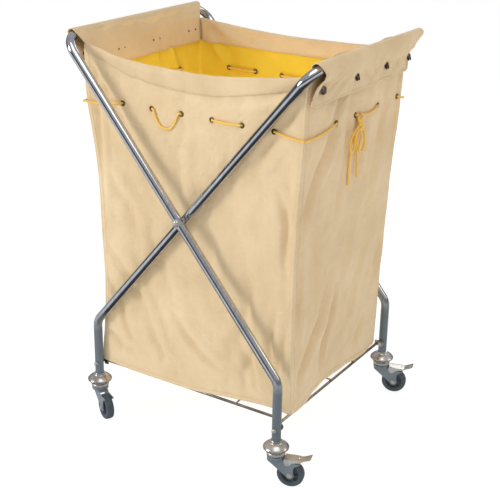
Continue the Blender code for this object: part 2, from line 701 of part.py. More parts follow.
def pedal_mesh(mats):
    """Brake pedal: a plate with flanges down both sides, a shoe and an upturned tail. It is
    modelled round its pivot."""
    px, pz = PEDAL_PIVOT
    plate_z, thick = 0.0728, 0.0020
    flange = 0.0015
    half = CHEEK_OUT_Y + 0.0004 + flange
    tail = [(0.0215, plate_z), (0.0600, plate_z), (0.0630, plate_z - 0.0012),
            (0.0860, plate_z + 0.0082), (0.0853, plate_z + 0.0100),
            (0.0632, plate_z + 0.0012), (0.0605, plate_z + thick), (0.0215, plate_z + thick)]
    tail = [(x - px, z - pz) for x, z in tail]
    pedal = slab("pedal", tail, "Y", -half, half, mats["zinc"])
    tools = []
    skirt = [(0.0215, plate_z + 0.001), (0.0600, plate_z + 0.001), (0.0600, 0.0690),
             (0.0380, 0.0645), (0.0360, 0.0575), (0.0260, 0.0575), (0.0225, 0.0660)]
    skirt = [(x - px, z - pz) for x, z in skirt]
    for sign in (-1, 1):
        lows = sorted((sign * (half - flange), sign * half))
        tools.append(slab("pedal_skirt", skirt, "Y", lows[0], lows[1], mats["zinc"]))
    shoe = [(0.0570, plate_z + 0.001), (0.0570, 0.0620), (0.0600, 0.0620),
            (0.0600, plate_z + 0.001)]
    shoe = [(x - px, z - pz) for x, z in shoe]
    tools.append(slab("pedal_shoe", shoe, "Y", -0.008, 0.008, mats["zinc"]))
    for tool in tools:
        use(pedal, tool, "UNION")
    mesh = settled_mesh(pedal, "brake_pedal")
    for tool in tools:
        bpy.data.objects.remove(tool)
    return mesh


def casters(mats, ends):
    fork = fork_mesh(mats)
    pedal = pedal_mesh(mats)
    shoulder = WHEEL_W / 2
    tyre_profile = [(0.0215, -0.0095), (0.0295, -shoulder), (0.0320, -0.0070),
                    (WHEEL_R, -0.0035), (WHEEL_R, 0.0035), (0.0320, 0.0070),
                    (0.0295, shoulder), (0.0215, 0.0095)]
    hub_profile = [(AXLE_R + GAP, -0.0098), (0.0080, -0.0098), (0.0090, -0.0050),
                   (0.0180, -0.0050), (0.0211, -0.0085), (0.0211, 0.0085),
                   (0.0180, 0.0050), (0.0090, 0.0050), (0.0080, 0.0098),
                   (AXLE_R + GAP, 0.0098)]
    head = CHEEK_OUT_Y + GAP
    axle_profile = [(0, -head - 0.003), (0.0045, -head - 0.0024), (0.0062, -head - 0.0006),
                    (0.0062, -head), (AXLE_R, -head), (AXLE_R, head), (0.0062, head),
                    (0.0062, head + 0.0006), (0.0045, head + 0.0024), (0, head + 0.003)]
    stem_profile = [(0, 0.0682), (0.0050, 0.0682), (0.0050, RACE_Z), (0.0220, RACE_Z),
                    (0.0220, 0.0845), (0.0200, BUMPER_Z - GAP), (0.0058, BUMPER_Z - GAP),
                    (0.0058, LEG_FOOT_Z), (0.0092, LEG_FOOT_Z + GAP), (0.0092, 0.1340), (0, 0.1340)]
    bumper_profile = [(0.0062, BUMPER_Z), (0.0205, BUMPER_Z), (0.0250, 0.0905),
                      (0.0310, 0.0975), (0.0310, 0.0992), (0.0245, 0.1052),
                      (0.0135, LEG_FOOT_Z - GAP), (0.0062, LEG_FOOT_Z - GAP)]
    for corner, (x, y, frame) in CORNERS.items():
        parent = ends[frame]
        foot = Vector((x, y, 0)) - parent.location
        turned("caster_stem_" + corner, stem_profile, mats["zinc"], parent, foot, sides=16)
        turned("bumper_" + corner, bumper_profile, mats["bumper"], parent, foot, sides=24)
        swivel = joint_empty("swivel_" + corner, foot, parent, CASTER_YAW[corner])
        place(fork, "caster_fork_" + corner, swivel)
        spin = joint_empty("wheel_" + corner, (WHEEL_TRAIL, 0, WHEEL_R), swivel)
        turned("caster_tyre_" + corner, tyre_profile, mats["tyre"], spin, sides=24, axis="Y")
        turned("caster_hub_" + corner, hub_profile, mats["hub"], spin, sides=16, axis="Y")
        turned("caster_axle_" + corner, axle_profile, mats["zinc"], swivel,
               (WHEEL_TRAIL, 0, WHEEL_R), sides=10, axis="Y")
        if corner in ("fr", "br"):
            place(pedal, "brake_pedal_" + corner, swivel, (PEDAL_PIVOT[0], 0, PEDAL_PIVOT[1]))


# ---------------------------------------------------------------- build
def build():
    for obj in list(bpy.data.objects):
        bpy.data.objects.remove(obj)
    mats = {
        "chrome": material("chrome_tube", (0.42, 0.46, 0.50), 0.18, 1.0),
        "zinc": material("zinc_plated", (0.72, 0.71, 0.68), 0.30, 1.0),
        "bumper": material("bumper_plate", (0.56, 0.50, 0.46), 0.25, 1.0),
        "fork_steel": material("fork_steel", (0.42, 0.47, 0.50), 0.35, 1.0),
        "rack_wire": material("rack_wire", (0.60, 0.56, 0.53), 0.28, 1.0),
        "tyre": material("grey_rubber", (0.10, 0.14, 0.17), 0.60, 0.0),
        "hub": material("grey_hub", (0.22, 0.25, 0.28), 0.45, 0.0),
        "canvas": material("canvas", (0.83, 0.71, 0.50), 0.90, 0.0),
        "liner": material("yellow_liner", (0.78, 0.50, 0.06), 0.70, 0.0),
        "cord": material("yellow_cord", (0.88, 0.60, 0.12), 0.75, 0.0),
    }
    pivot = (0, 0, PIVOT_Z)
    frame_a = joint_empty("frame_a", pivot)
    frame_b = joint_empty("frame_b", pivot)
    cloth = joint_empty("bag", pivot)
    rack_hinge = joint_empty("rack", (LEG_X, 0, LEG_BOLT_Z))
    bpy.context.view_layer.update()
    frame_tube("frame_tube_a", -1, FRAME_A_Y, PIVOT_BOLT_R + 0.0004, mats, frame_a)
    frame_tube("frame_tube_b", 1, FRAME_B_Y, PIVOT_SLEEVE_R + 0.0004, mats, frame_b)
    for side in ("front", "back"):
        pivot_pieces(frame_a, side, mats)
    for corner, (_, _, frame) in CORNERS.items():
        leg_bolt(corner, mats, {"a": frame_a, "b": frame_b}[frame])
    casters(mats, {"a": frame_a, "b": frame_b})
    rack(mats, rack_hinge)
    bag(mats, cloth)
    sleeve("sleeve_left", -1, FRAME_A_Y - BAR_BEND_R - 0.004, mats, frame_a)
    sleeve("sleeve_right", 1, FRAME_B_Y - BAR_BEND_R - 0.004, mats, frame_b)
    drawstring(mats, cloth)


build()
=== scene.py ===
"""Looks of the folding linen trolley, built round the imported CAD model.

Metres, +Z up, the same frame as the CAD: +X along the face that shows the X, +Y to the back.
"""
import json
import math

import bpy
import numpy as np
from mathutils import Matrix, Vector


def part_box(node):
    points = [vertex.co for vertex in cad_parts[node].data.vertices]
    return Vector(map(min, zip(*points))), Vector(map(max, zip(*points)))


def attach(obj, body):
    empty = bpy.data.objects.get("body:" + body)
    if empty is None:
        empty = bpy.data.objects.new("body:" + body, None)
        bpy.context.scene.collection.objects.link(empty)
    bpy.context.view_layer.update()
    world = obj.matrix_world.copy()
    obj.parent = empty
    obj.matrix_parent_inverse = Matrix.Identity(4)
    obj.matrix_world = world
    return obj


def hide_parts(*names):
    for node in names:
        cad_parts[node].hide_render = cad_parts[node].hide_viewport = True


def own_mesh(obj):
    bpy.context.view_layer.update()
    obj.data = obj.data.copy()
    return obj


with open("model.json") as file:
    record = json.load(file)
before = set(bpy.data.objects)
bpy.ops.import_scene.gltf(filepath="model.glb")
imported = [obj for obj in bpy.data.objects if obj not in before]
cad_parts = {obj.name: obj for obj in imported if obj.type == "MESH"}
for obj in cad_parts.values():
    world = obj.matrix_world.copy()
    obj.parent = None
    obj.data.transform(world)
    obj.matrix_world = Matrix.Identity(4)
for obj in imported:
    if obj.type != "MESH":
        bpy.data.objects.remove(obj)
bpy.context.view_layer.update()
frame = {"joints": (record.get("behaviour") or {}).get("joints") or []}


def node_box(node):
    """Low and high corners of a CAD node's box, as arrays."""
    low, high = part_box(node)
    return np.array(low, float), np.array(high, float)


# ---------------------------------------------------------------- sizes read from the frame
TUBE_R = 0.011
TUBE_A_LOW, TUBE_A_HIGH = node_box("frame_tube_a")
TUBE_B_HIGH = node_box("frame_tube_b")[1]
BAR_X = TUBE_B_HIGH[0] - TUBE_R
BAR_Z = TUBE_A_HIGH[2] - TUBE_R
FRAME_A_Y = TUBE_A_HIGH[1] - TUBE_R
FRAME_B_Y = TUBE_B_HIGH[1] - TUBE_R
LEG_X = TUBE_A_HIGH[0] - TUBE_R
LEG_FOOT_Z = TUBE_A_LOW[2]
JOINTS = {joint["name"]: joint for joint in frame["joints"]}
PIVOT_Z = JOINTS["frame_fold"]["pos_m"][2]
LEG_BOLT_Z = JOINTS["rack_lift"]["pos_m"][2]
LEG_BEND_Z = (PIVOT_Z * (BAR_X + LEG_X) - BAR_Z * LEG_X) / BAR_X
LEG_BEND_R = 0.040
BAR_BEND_R = 0.045
BAG_LOW, BAG_HIGH = node_box("bag_bottom")
BAG_FLOOR_Z = BAG_LOW[2]
BAG_BOTTOM_X = BAG_HIGH[0]
BAG_Y = BAG_HIGH[1]
BAG_TOP_X = node_box("bag_right")[1][0]
BAG_TOP_Z = node_box("bag_right")[1][2]
STAND_IN_CLOTH = 0.006     # thickness of the CAD panels


# ---------------------------------------------------------------- mesh helpers
def mesh_object(name, verts, faces, mat, uvs=None, sharp=35.0):
    """uvs is one (u, v) for each corner of each face, in face order."""
    mesh = bpy.data.meshes.new(name)
    mesh.from_pydata([tuple(map(float, v)) for v in verts], [], [tuple(f) for f in faces])
    if uvs is not None:
        layer = mesh.uv_layers.new(name="UVMap")
        layer.data.foreach_set("uv", np.asarray(uvs, np.float32).ravel())
    mesh.validate()
    mesh.shade_smooth()
    if sharp:
        mesh.set_sharp_from_angle(angle=math.radians(sharp))
    mesh.materials.append(mat)
    obj = bpy.data.objects.new(name, mesh)
    bpy.context.scene.collection.objects.link(obj)
    return obj


def merged(*shapes):
    """Several (verts, faces) as one."""
    verts, faces = [], []
    for more_verts, more_faces in shapes:
        start = len(verts)
        verts += [tuple(v) for v in more_verts]
        faces += [tuple(i + start for i in f) for f in more_faces]
    return verts, faces


def moved(shape, matrix):
    """A shape's (verts, faces) carried by a matrix."""
    verts, faces = shape
    return [tuple(matrix @ Vector(v)) for v in verts], faces


AXES = {
    "Z": (Vector((1, 0, 0)), Vector((0, 1, 0)), Vector((0, 0, 1))),
    "Y": (Vector((1, 0, 0)), Vector((0, 0, -1)), Vector((0, 1, 0))),
    "X": (Vector((0, 1, 0)), Vector((0, 0, 1)), Vector((1, 0, 0))),
}


def lathe(profile, sides=48, axis="Z", centre=(0, 0, 0)):
    """A closed body of revolution; the profile is an open or closed list of (radius, height)."""
    u, v, along = AXES[axis]
    centre = Vector(centre)
    verts, rings = [], []
    for radius, height in profile:
        count = 1 if radius < 1e-7 else sides
        rings.append((len(verts), count))
        for i in range(count):
            a = 2 * math.pi * i / sides
            verts.append(centre + along * height + radius * (math.cos(a) * u + math.sin(a) * v))
    faces = []
    pairs = list(zip(rings, rings[1:]))
    if profile[0][0] > 1e-7 and profile[-1][0] > 1e-7:
        pairs.append((rings[-1], rings[0]))
    for (a, count_a), (b, count_b) in pairs:
        for i in range(sides):
            j = (i + 1) % sides
            if count_a == 1 and count_b == 1:
                break
            if count_a == 1:
                faces.append((a, b + j, b + i))
            elif count_b == 1:
                faces.append((a + i, a + j, b))
            else:
                faces.append((a + i, a + j, b + j, b + i))
    return verts, faces


def smooth_profile(points, rounds=2):
    """Chaikin-rounded open profile; its two ends stay."""
    for _ in range(rounds):
        out = [points[0]]
        for a, b in zip(points, points[1:]):
            out.append((a[0] * 0.75 + b[0] * 0.25, a[1] * 0.75 + b[1] * 0.25))
            out.append((a[0] * 0.25 + b[0] * 0.75, a[1] * 0.25 + b[1] * 0.75))
        out.append(points[-1])
        points = out
    return points


def arc(centre, radius, start, end, count):
    """Points on an arc in a plane, angles in degrees."""
    angles = [math.radians(start + (end - start) * i / count) for i in range(count + 1)]
    return [(centre[0] + radius * math.cos(a), centre[1] + radius * math.sin(a)) for a in angles]


def rounded_path(corners, radii, step=math.radians(4)):
    """Points along a polyline whose inner corners are turned into arcs."""
    points = [Vector(corners[0])]
    for before, corner, after, radius in zip(corners, corners[1:], corners[2:], radii):
        corner = Vector(corner)
        arrive = (corner - Vector(before)).normalized()
        leave = (Vector(after) - corner).normalized()
        turn = arrive.angle(leave)
        start = corner - arrive * radius * math.tan(turn / 2)
        inward = (leave - arrive * leave.dot(arrive)).normalized()
        count = max(3, math.ceil(turn / step))
        for i in range(count + 1):
            a = turn * i / count
            points.append(start + radius * (math.sin(a) * arrive + (1 - math.cos(a)) * inward))
    points.append(Vector(corners[-1]))
    return points


def sweep(points, radius, sides=24, closed=False, caps=True):
    """A round tube along points, with uvs (share of the way round, metres along)."""
    points = [Vector(p) for p in points]
    count = len(points)
    radii = radius if hasattr(radius, "__len__") else [radius] * count
    tangents = []
    for i in range(count):
        ahead = points[(i + 1) % count] if closed else points[min(i + 1, count - 1)]
        behind = points[i - 1] if closed else points[max(i - 1, 0)]
        tangents.append((ahead - behind).normalized())
    u = tangents[0].orthogonal().normalized()
    verts, along, walked = [], [], 0.0
    for i, (point, tangent) in enumerate(zip(points, tangents)):
        u = (u - tangent * u.dot(tangent)).normalized()
        v = tangent.cross(u)
        walked += (point - points[i - 1]).length if i else 0.0
        along.append(walked)
        for k in range(sides):
            a = 2 * math.pi * k / sides
            verts.append(point + float(radii[i]) * (math.cos(a) * u + math.sin(a) * v))
    faces, uvs = [], []
    for i in range(count if closed else count - 1):
        j = (i + 1) % count
        top = walked + (points[0] - points[-1]).length if closed and j == 0 else along[j]
        for k in range(sides):
            m = (k + 1) % sides
            faces.append((i * sides + k, i * sides + m, j * sides + m, j * sides + k))
            uvs += [(k / sides, along[i]), ((k + 1) / sides, along[i]),
                    ((k + 1) / sides, top), (k / sides, top)]
    if caps and not closed:
        for i, rim in ((0, range(sides - 1, -1, -1)), (count - 1, range(sides))):
            faces.append(tuple(i * sides + k for k in rim))
            uvs += [(0.5, along[i])] * sides
    return verts, faces, uvs


def tapered_rod(start, end, radius, sides=16):
    """A straight rod with rounded ends."""
    start, end = Vector(start), Vector(end)
    along = (end - start).normalized()
    length = (end - start).length
    spots = [(0.0, 0.35), (0.25, 0.75), (0.8, 1.0)]
    walk = [(d * radius, s) for d, s in spots] + [(length - d * radius, s) for d, s in spots[::-1]]
    points = [start + along * d for d, _ in walk]
    return sweep(points, [radius * s for _, s in walk], sides)[:2]


def plate(outline, axis, low, high):
    """A flat outline pushed along an axis; outline points in the other two axes, X, Y, Z order."""
    index = "XYZ".index(axis)

    def vertex(point, level):
        coords = list(point)
        coords.insert(index, level)
        return tuple(coords)

    count = len(outline)
    verts = [vertex(p, low) for p in outline] + [vertex(p, high) for p in outline]
    faces = [tuple(range(count))[::-1], tuple(range(count, 2 * count))]
    faces += [(i, (i + 1) % count, count + (i + 1) % count, count + i) for i in range(count)]
    return verts, faces


def piece(name, shape, look, body, replaces=(), bevel=0.0, uvs=None, sharp=35.0):
    """A finished rigid piece in one of the looks: it rides on a body and takes the look's slot."""
    obj = mesh_object(name, shape[0], shape[1], MATERIALS[look], uvs, sharp)
    if bevel:
        rounding = obj.modifiers.new("edges", "BEVEL")
        rounding.width = bevel
        rounding.segments = 2
        rounding.limit_method = "ANGLE"
        rounding.angle_limit = math.radians(32)
        rounding.harden_normals = True
    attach(obj, body)
    if replaces:
        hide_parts(*([replaces] if isinstance(replaces, str) else replaces))
    return obj


# ---------------------------------------------------------------- material graphs
class Graph:
    """A Principled material and short calls for its nodes."""

    def __init__(self, name, **settings):
        self.mat = bpy.data.materials.new(name)
        self.mat.use_nodes = True
        self.tree = self.mat.node_tree
        self.shader = self.tree.nodes["Principled BSDF"]
        for key, value in settings.items():
            self.shader.inputs[key.replace("_", " ")].default_value = value
        self.place = self.add("ShaderNodeTexCoord").outputs["Object"]

    def add(self, kind, **settings):
        node = self.tree.nodes.new(kind)
        for key, value in settings.items():
            setattr(node, key, value)
        return node

    def link(self, source, target):
        self.tree.links.new(source, target)

    def into(self, source, socket):
        self.link(source, self.shader.inputs[socket])

    def stretched(self, scale, source=None, turn=(0, 0, 0)):
        node = self.add("ShaderNodeMapping")
        node.inputs["Scale"].default_value = scale
        node.inputs["Rotation"].default_value = [math.radians(a) for a in turn]
        self.link(source or self.place, node.inputs["Vector"])
        return node.outputs["Vector"]

    def noise(self, scale, detail=2.0, source=None, rough=0.5, distortion=0.0):
        node = self.add("ShaderNodeTexNoise")
        node.inputs["Scale"].default_value = scale
        node.inputs["Detail"].default_value = detail
        node.inputs["Roughness"].default_value = rough
        node.inputs["Distortion"].default_value = distortion
        self.link(source or self.place, node.inputs["Vector"])
        return node.outputs["Fac"]

    def wave(self, scale, direction, source):
        node = self.add("ShaderNodeTexWave", bands_direction=direction)
        node.inputs["Scale"].default_value = scale
        self.link(source, node.inputs["Vector"])
        return node.outputs["Fac"]

    def spread(self, source, low, high, to_low=0.0, to_high=1.0):
        node = self.add("ShaderNodeMapRange")
        for key, value in (("From Min", low), ("From Max", high),
                           ("To Min", to_low), ("To Max", to_high)):
            node.inputs[key].default_value = value
        self.link(source, node.inputs["Value"])
        return node.outputs["Result"]

    def math(self, operation, first, second):
        node = self.add("ShaderNodeMath", operation=operation)
        for socket, value in zip(node.inputs, (first, second)):
            if isinstance(value, (int, float)):
                socket.default_value = value
            else:
                self.link(value, socket)
        return node.outputs[0]

    def mix(self, factor, first, second):
        node = self.add("ShaderNodeMix", data_type="RGBA")
        for key, value in ((0, factor), (6, first), (7, second)):
            if isinstance(value, (int, float)):
                node.inputs[key].default_value = value
            elif isinstance(value, tuple):
                node.inputs[key].default_value = (*value, 1.0)
            else:
                self.link(value, node.inputs[key])
        return node.outputs[2]

    def bump(self, height, strength, distance, after=None):
        node = self.add("ShaderNodeBump")
        node.inputs["Strength"].default_value = strength
        node.inputs["Distance"].default_value = distance
        self.link(height, node.inputs["Height"])
        if after:
            self.link(after, node.inputs["Normal"])
        self.into(node.outputs["Normal"], "Normal")
        return node.outputs["Normal"]


def woven(name, light, dark, mottle=6.0, weave=520.0, rough=0.92, sheen=0.15, crumple=0.0):
    """Plain-weave cloth: warp and weft slubs, soft mottling and fine threads."""
    g = Graph(name, Roughness=rough, Sheen_Weight=sheen, Sheen_Roughness=0.5)
    g.shader.inputs["Specular IOR Level"].default_value = 0.2
    clouds = g.noise(mottle, 4.0, rough=0.6)
    warp = g.noise(1.0, 1.5, g.stretched((weave, weave, 26)))
    weft = g.noise(1.0, 1.5, g.stretched((26, 26, weave)))
    threads = g.math("ADD", warp, weft)
    tone = g.math("ADD", clouds, g.math("MULTIPLY", threads, 0.14))
    shade = g.spread(tone, 0.40, 0.88)
    g.into(g.mix(shade, dark, light), "Base Color")
    after = None
    if crumple:
        creases = g.noise(17.0, 3.0, rough=0.58, distortion=0.3)
        after = g.bump(creases, crumple, 0.008)
    g.bump(threads, 0.22, 0.0006, after)
    return g.mat


def metal(name, colour, rough, wear, stain=None, metallic=1.0):
    """Metal with soft clouds and fine upright scratches; stain is its darkest tone."""
    g = Graph(name, Metallic=metallic)
    clouds = g.noise(14.0, 4.0, rough=0.6)
    lines = g.noise(1.0, 2.0, g.stretched((180.0, 180.0, 12)))
    mixed = g.math("ADD", g.math("MULTIPLY", clouds, 0.7), g.math("MULTIPLY", lines, 0.3))
    darker = stain or tuple(c * 0.78 for c in colour)
    g.into(g.mix(g.spread(mixed, 0.35, 0.65), darker, colour), "Base Color")
    g.into(g.spread(mixed, 0.3, 0.7, rough - wear, rough + wear), "Roughness")
    g.bump(lines, 0.08, 0.0002)
    return g.mat


def moulded(name, colour, rough):
    """Rubber or nylon with a fine grain."""
    g = Graph(name)
    clouds = g.noise(30.0, 4.0, rough=0.65)
    grit = g.noise(700.0, 2.0)
    g.into(g.mix(g.spread(clouds, 0.35, 0.7), tuple(c * 0.8 for c in colour), colour), "Base Color")
    g.into(g.spread(clouds, 0.3, 0.7, rough - 0.06, rough + 0.06), "Roughness")
    g.bump(grit, 0.3, 0.0002)
    return g.mat


def braided(name, light, dark):
    """Cord: two crossing sets of diagonal strands over its own uvs."""
    g = Graph(name, Roughness=0.7, Sheen_Weight=0.3)
    uv = g.add("ShaderNodeTexCoord").outputs["UV"]
    one = g.wave(1.0, "X", g.stretched((1.0, 110, 1), uv, (0, 0, 38)))
    two = g.wave(1.0, "X", g.stretched((1.0, 110, 1), uv, (0, 0, -38)))
    strands = g.math("MAXIMUM", one, two)
    clouds = g.noise(60.0, 3.0)
    g.into(g.mix(g.math("MULTIPLY", g.math("ADD", strands, clouds), 0.6), dark, light), "Base Color")
    g.bump(strands, 0.5, 0.0004)
    return g.mat


def plated_tube(name, upper, lower, low_z, high_z):
    """Bright plated tube; on the legs below the bends it is rougher and less metallic, and its
    colour is darker, painted shade for the dim reflections the legs show.
    """
    g = Graph(name, Metallic=1.0)
    height = g.add("ShaderNodeSeparateXYZ")
    g.link(g.place, height.inputs[0])
    share = g.spread(height.outputs["Z"], low_z, high_z)
    clouds = g.noise(9.0, 4.0, rough=0.6)
    lines = g.noise(1.0, 2.0, g.stretched((160, 160, 14)))
    tone = g.spread(g.math("ADD", clouds, lines), 0.7, 1.3)
    bright = g.mix(tone, tuple(0.72 * c for c in upper), upper)
    # Painted shade: the legs below the bends take a darker colour in place of the dim reflections
    # they show
    painted_shade_legs = g.mix(tone, tuple(0.80 * c for c in lower), lower)
    g.into(g.mix(share, painted_shade_legs, bright), "Base Color")
    g.into(g.spread(share, 0.0, 1.0, 0.30, 1.0), "Metallic")
    wear = g.spread(tone, 0.0, 1.0, -0.03, 0.03)
    g.into(g.math("ADD", g.spread(share, 0.0, 1.0, 0.32, 0.10), wear), "Roughness")
    g.bump(lines, 0.06, 0.0002)
    return g.mat


MATERIALS = {
    # The tube's second colour is painted shade on its legs, standing in for their dim reflections
    "chrome": plated_tube("chrome_tube_painted_leg_shade", (0.64, 0.66, 0.69), (0.170, 0.212, 0.240),
                          0.235, 0.300),
    "zinc": metal("zinc_finish", (0.64, 0.635, 0.61), 0.32, 0.05, stain=(0.40, 0.395, 0.37),
                  metallic=0.7),
    "bumper": metal("bumper_finish", (0.66, 0.63, 0.60), 0.24, 0.05, stain=(0.38, 0.35, 0.33),
                    metallic=0.8),
    "fork": metal("fork_finish", (0.235, 0.285, 0.32), 0.36, 0.06, metallic=0.35),
    "wire": metal("wire_finish", (0.50, 0.46, 0.43), 0.24, 0.05, stain=(0.24, 0.21, 0.20)),
    "snap": metal("snap_finish", (0.30, 0.27, 0.25), 0.18, 0.06, stain=(0.08, 0.07, 0.065)),
    "brass": metal("eyelet_brass", (0.30, 0.20, 0.085), 0.34, 0.06, stain=(0.12, 0.075, 0.03)),
    "tyre": moulded("tyre_rubber", (0.070, 0.098, 0.120), 0.58),
    # Painted shade: the hub is near-black for the shade in its recess inside the tyre
    "hub": moulded("hub_painted_recess_shade", (0.065, 0.078, 0.09), 0.45),
    "dark": moulded("shadow_gap", (0.02, 0.02, 0.022), 0.6),
    "canvas": woven("canvas_weave", (0.835, 0.660, 0.420), (0.705, 0.530, 0.308), crumple=0.95),
    # A darker copy of the canvas for the hems and flaps: painted shade, as they lie in less light
    "canvas_painted_shade": woven("canvas_weave_painted_shade", (0.780, 0.615, 0.385), (0.660, 0.490, 0.285),
                        crumple=0.75),
    "liner": woven("liner_weave", (0.88, 0.640, 0.062), (0.76, 0.530, 0.032), mottle=4.0,
                   weave=800.0, rough=0.62, sheen=0.05, crumple=0.4),
    "thread": woven("seam_thread", (0.68, 0.54, 0.36), (0.56, 0.43, 0.27)),
    "cord": braided("cord_braid", (0.94, 0.61, 0.105), (0.76, 0.40, 0.035)),
}


# ---------------------------------------------------------------- frames
def frame_path(side, half_depth):
    """Leg, diagonal, handle bar, diagonal, leg; side is +1 when the bar is at +X."""
    bar_x, leg_x = side * BAR_X, -side * LEG_X
    corners = [
        (leg_x, -half_depth, LEG_FOOT_Z), (leg_x, -half_depth, LEG_BEND_Z),
        (bar_x, -half_depth, BAR_Z), (bar_x, half_depth, BAR_Z),
        (leg_x, half_depth, LEG_BEND_Z), (leg_x, half_depth, LEG_FOOT_Z),
    ]
    return rounded_path(corners, [LEG_BEND_R, BAR_BEND_R, BAR_BEND_R, LEG_BEND_R])


def frames():
    """The two bent tubes."""
    for letter, side, depth in (("a", -1, FRAME_A_Y), ("b", 1, FRAME_B_Y)):
        verts, faces, uvs = sweep(frame_path(side, depth), TUBE_R, 40)
        piece("tube_" + letter, (verts, faces), "chrome", "frame_" + letter,
              "frame_tube_" + letter, uvs=uvs)


def hexagon(radius, turn=0.0):
    """The corners of a nut, turned by some degrees."""
    return [(radius * math.cos(math.radians(60 * i + turn)),
             radius * math.sin(math.radians(60 * i + turn))) for i in range(6)]


def pivots():
    """The bolt, washer, sleeve and flange at each crossing of the frames."""
    outer = FRAME_A_Y + TUBE_R
    inner = FRAME_B_Y - TUBE_R
    facing = FRAME_A_Y - TUBE_R
    for side, sign in (("front", -1), ("back", 1)):
        head = [(0.0, outer + 0.0056), (0.0030, outer + 0.0054), (0.0060, outer + 0.0042),
                (0.0078, outer + 0.0022), (0.0085, outer + 0.0004), (0.0085, outer), (0.0, outer)]
        washer = [(0.0045, outer + 0.0003), (0.0100, outer + 0.0003), (0.0100, outer - 0.0010),
                  (0.0045, outer - 0.0010)]
        sleeve = [(0.0, facing), (0.0060, facing), (0.0060, inner), (0.0, inner)]
        flange = [(0.0, inner), (0.0080, inner), (0.0080, inner - 0.0010),
                  (0.0062, inner - 0.0023), (0.0, inner - 0.0024)]
        shapes = []
        for profile in (smooth_profile(head), washer, sleeve, smooth_profile(flange, 1)):
            shapes.append(lathe([(r, sign * y) for r, y in profile], 40, "Y", (0, 0, PIVOT_Z)))
        piece("pivot_" + side, merged(*shapes), "zinc", "frame_a",
              ("pivot_bolt_" + side, "pivot_nut_" + side))


def leg_bolts():
    """The bolts that hold the rack, each with its nut inside."""
    for corner in ("fr", "br", "fl", "bl"):
        low, high = node_box("leg_bolt_" + corner)
        x = (low[0] + high[0]) / 2
        sign = 1 if high[1] > 0 else -1
        depth = FRAME_A_Y if corner[1] == "r" else FRAME_B_Y
        outer, tip = depth + TUBE_R, min(abs(low[1]), abs(high[1]))
        head = [(0.0, outer + 0.0060), (0.0028, outer + 0.0058), (0.0048, outer + 0.0044),
                (0.0058, outer + 0.0020), (0.0058, outer - 0.0002), (0.0, outer - 0.0002)]
        shank = [(0.0, outer), (0.0030, outer), (0.0030, tip + 0.001), (0.0, tip)]
        shapes = [lathe([(r, sign * y) for r, y in smooth_profile(head)], 32, "Y",
                        (x, 0, LEG_BOLT_Z)),
                  lathe([(r, sign * y) for r, y in shank], 24, "Y", (x, 0, LEG_BOLT_Z))]
        nut = [(x + a, LEG_BOLT_Z + b) for a, b in hexagon(0.0060, 12)]
        shapes.append(plate(nut, "Y", *sorted((sign * tip, sign * (tip + 0.004)))))
        body = "frame_a" if corner[1] == "r" else "frame_b"
        piece("bolt_" + corner, merged(*shapes), "zinc", body, "leg_bolt_" + corner, bevel=0.0003)


# ---------------------------------------------------------------- rack
ROD_R = 0.0035
WIRE_END_IN = 0.0012       # the wires stop this far inside the ends of their CAD solids
TAB_R = 0.009              # the tabs' round ends, about the leg bolts
TAB_THICK = 0.003
TAB_TO_TUBE = 0.0025
TAB_REACH = 0.006          # the tabs' reach past the side rods, inwards
TAB_RISE = 0.006           # the inner edge of a tab, above and below the bolt
TAB_FALL = 0.0078
ROD_TO_BOX = 0.007         # from a side rod's middle to its CAD solid's inner side
ROD_BELOW_BOLT = 0.0023
SLOT_LEAN = -67            # degrees: a hook's slot runs downwards and inwards
SLOT_HALF = 0.0036
SLOT_LENGTH = 0.0085
HOOK_TIP = (0.0052, -0.0082)


def rack_edges_and_wires():
    """The front and back rods, and the wires that lie on the four rods."""
    runs = [("edge_", "rack_rod_" + side, 0, 0.0, 16) for side in ("front", "back")]
    for kind, axis in (("long", 0), ("cross", 1)):
        runs += [("bar_", f"rack_wire_{kind}_{i}", axis, WIRE_END_IN, 12) for i in (1, 2, 3)]
    for prefix, name, axis, end_in, sides in runs:
        low, high = node_box(name)
        start, end = (low + high) / 2, (low + high) / 2
        start[axis], end[axis] = low[axis] + end_in, high[axis] - end_in
        rod = tapered_rod(start, end, (high[2] - low[2]) / 2, sides)
        obj = piece(prefix + name, rod, "wire", "rack", name)
        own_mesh(obj)


def eye_outline(rod_x):
    """A tab with a round end, closed round frame A's leg bolt."""
    tail_x = rod_x - TAB_REACH
    return arc((LEG_X, LEG_BOLT_Z), TAB_R, -120, 120, 20) + [
        (tail_x, LEG_BOLT_Z + TAB_RISE), (tail_x, LEG_BOLT_Z - TAB_FALL)]


def hook_outline(rod_x):
    """A tab with an open slot, hooked on frame B's leg bolt."""
    centre = (-LEG_X, LEG_BOLT_Z)
    tail_x = rod_x + TAB_REACH
    lean = math.radians(SLOT_LEAN)
    along = Vector((math.cos(lean), math.sin(lean)))
    across = Vector((-along.y, along.x))
    mouth = Vector(centre) + along * SLOT_LENGTH
    slot_arc = arc(centre, SLOT_HALF, SLOT_LEAN + 270, SLOT_LEAN + 90, 12)
    return arc(centre, TAB_R, 270, 60, 20) + [
        (tail_x, LEG_BOLT_Z + TAB_RISE), (tail_x, LEG_BOLT_Z - TAB_FALL),
        (-LEG_X + HOOK_TIP[0], LEG_BOLT_Z + HOOK_TIP[1]), tuple(mouth + across * SLOT_HALF),
        *slot_arc[::-1], tuple(mouth - across * SLOT_HALF)]


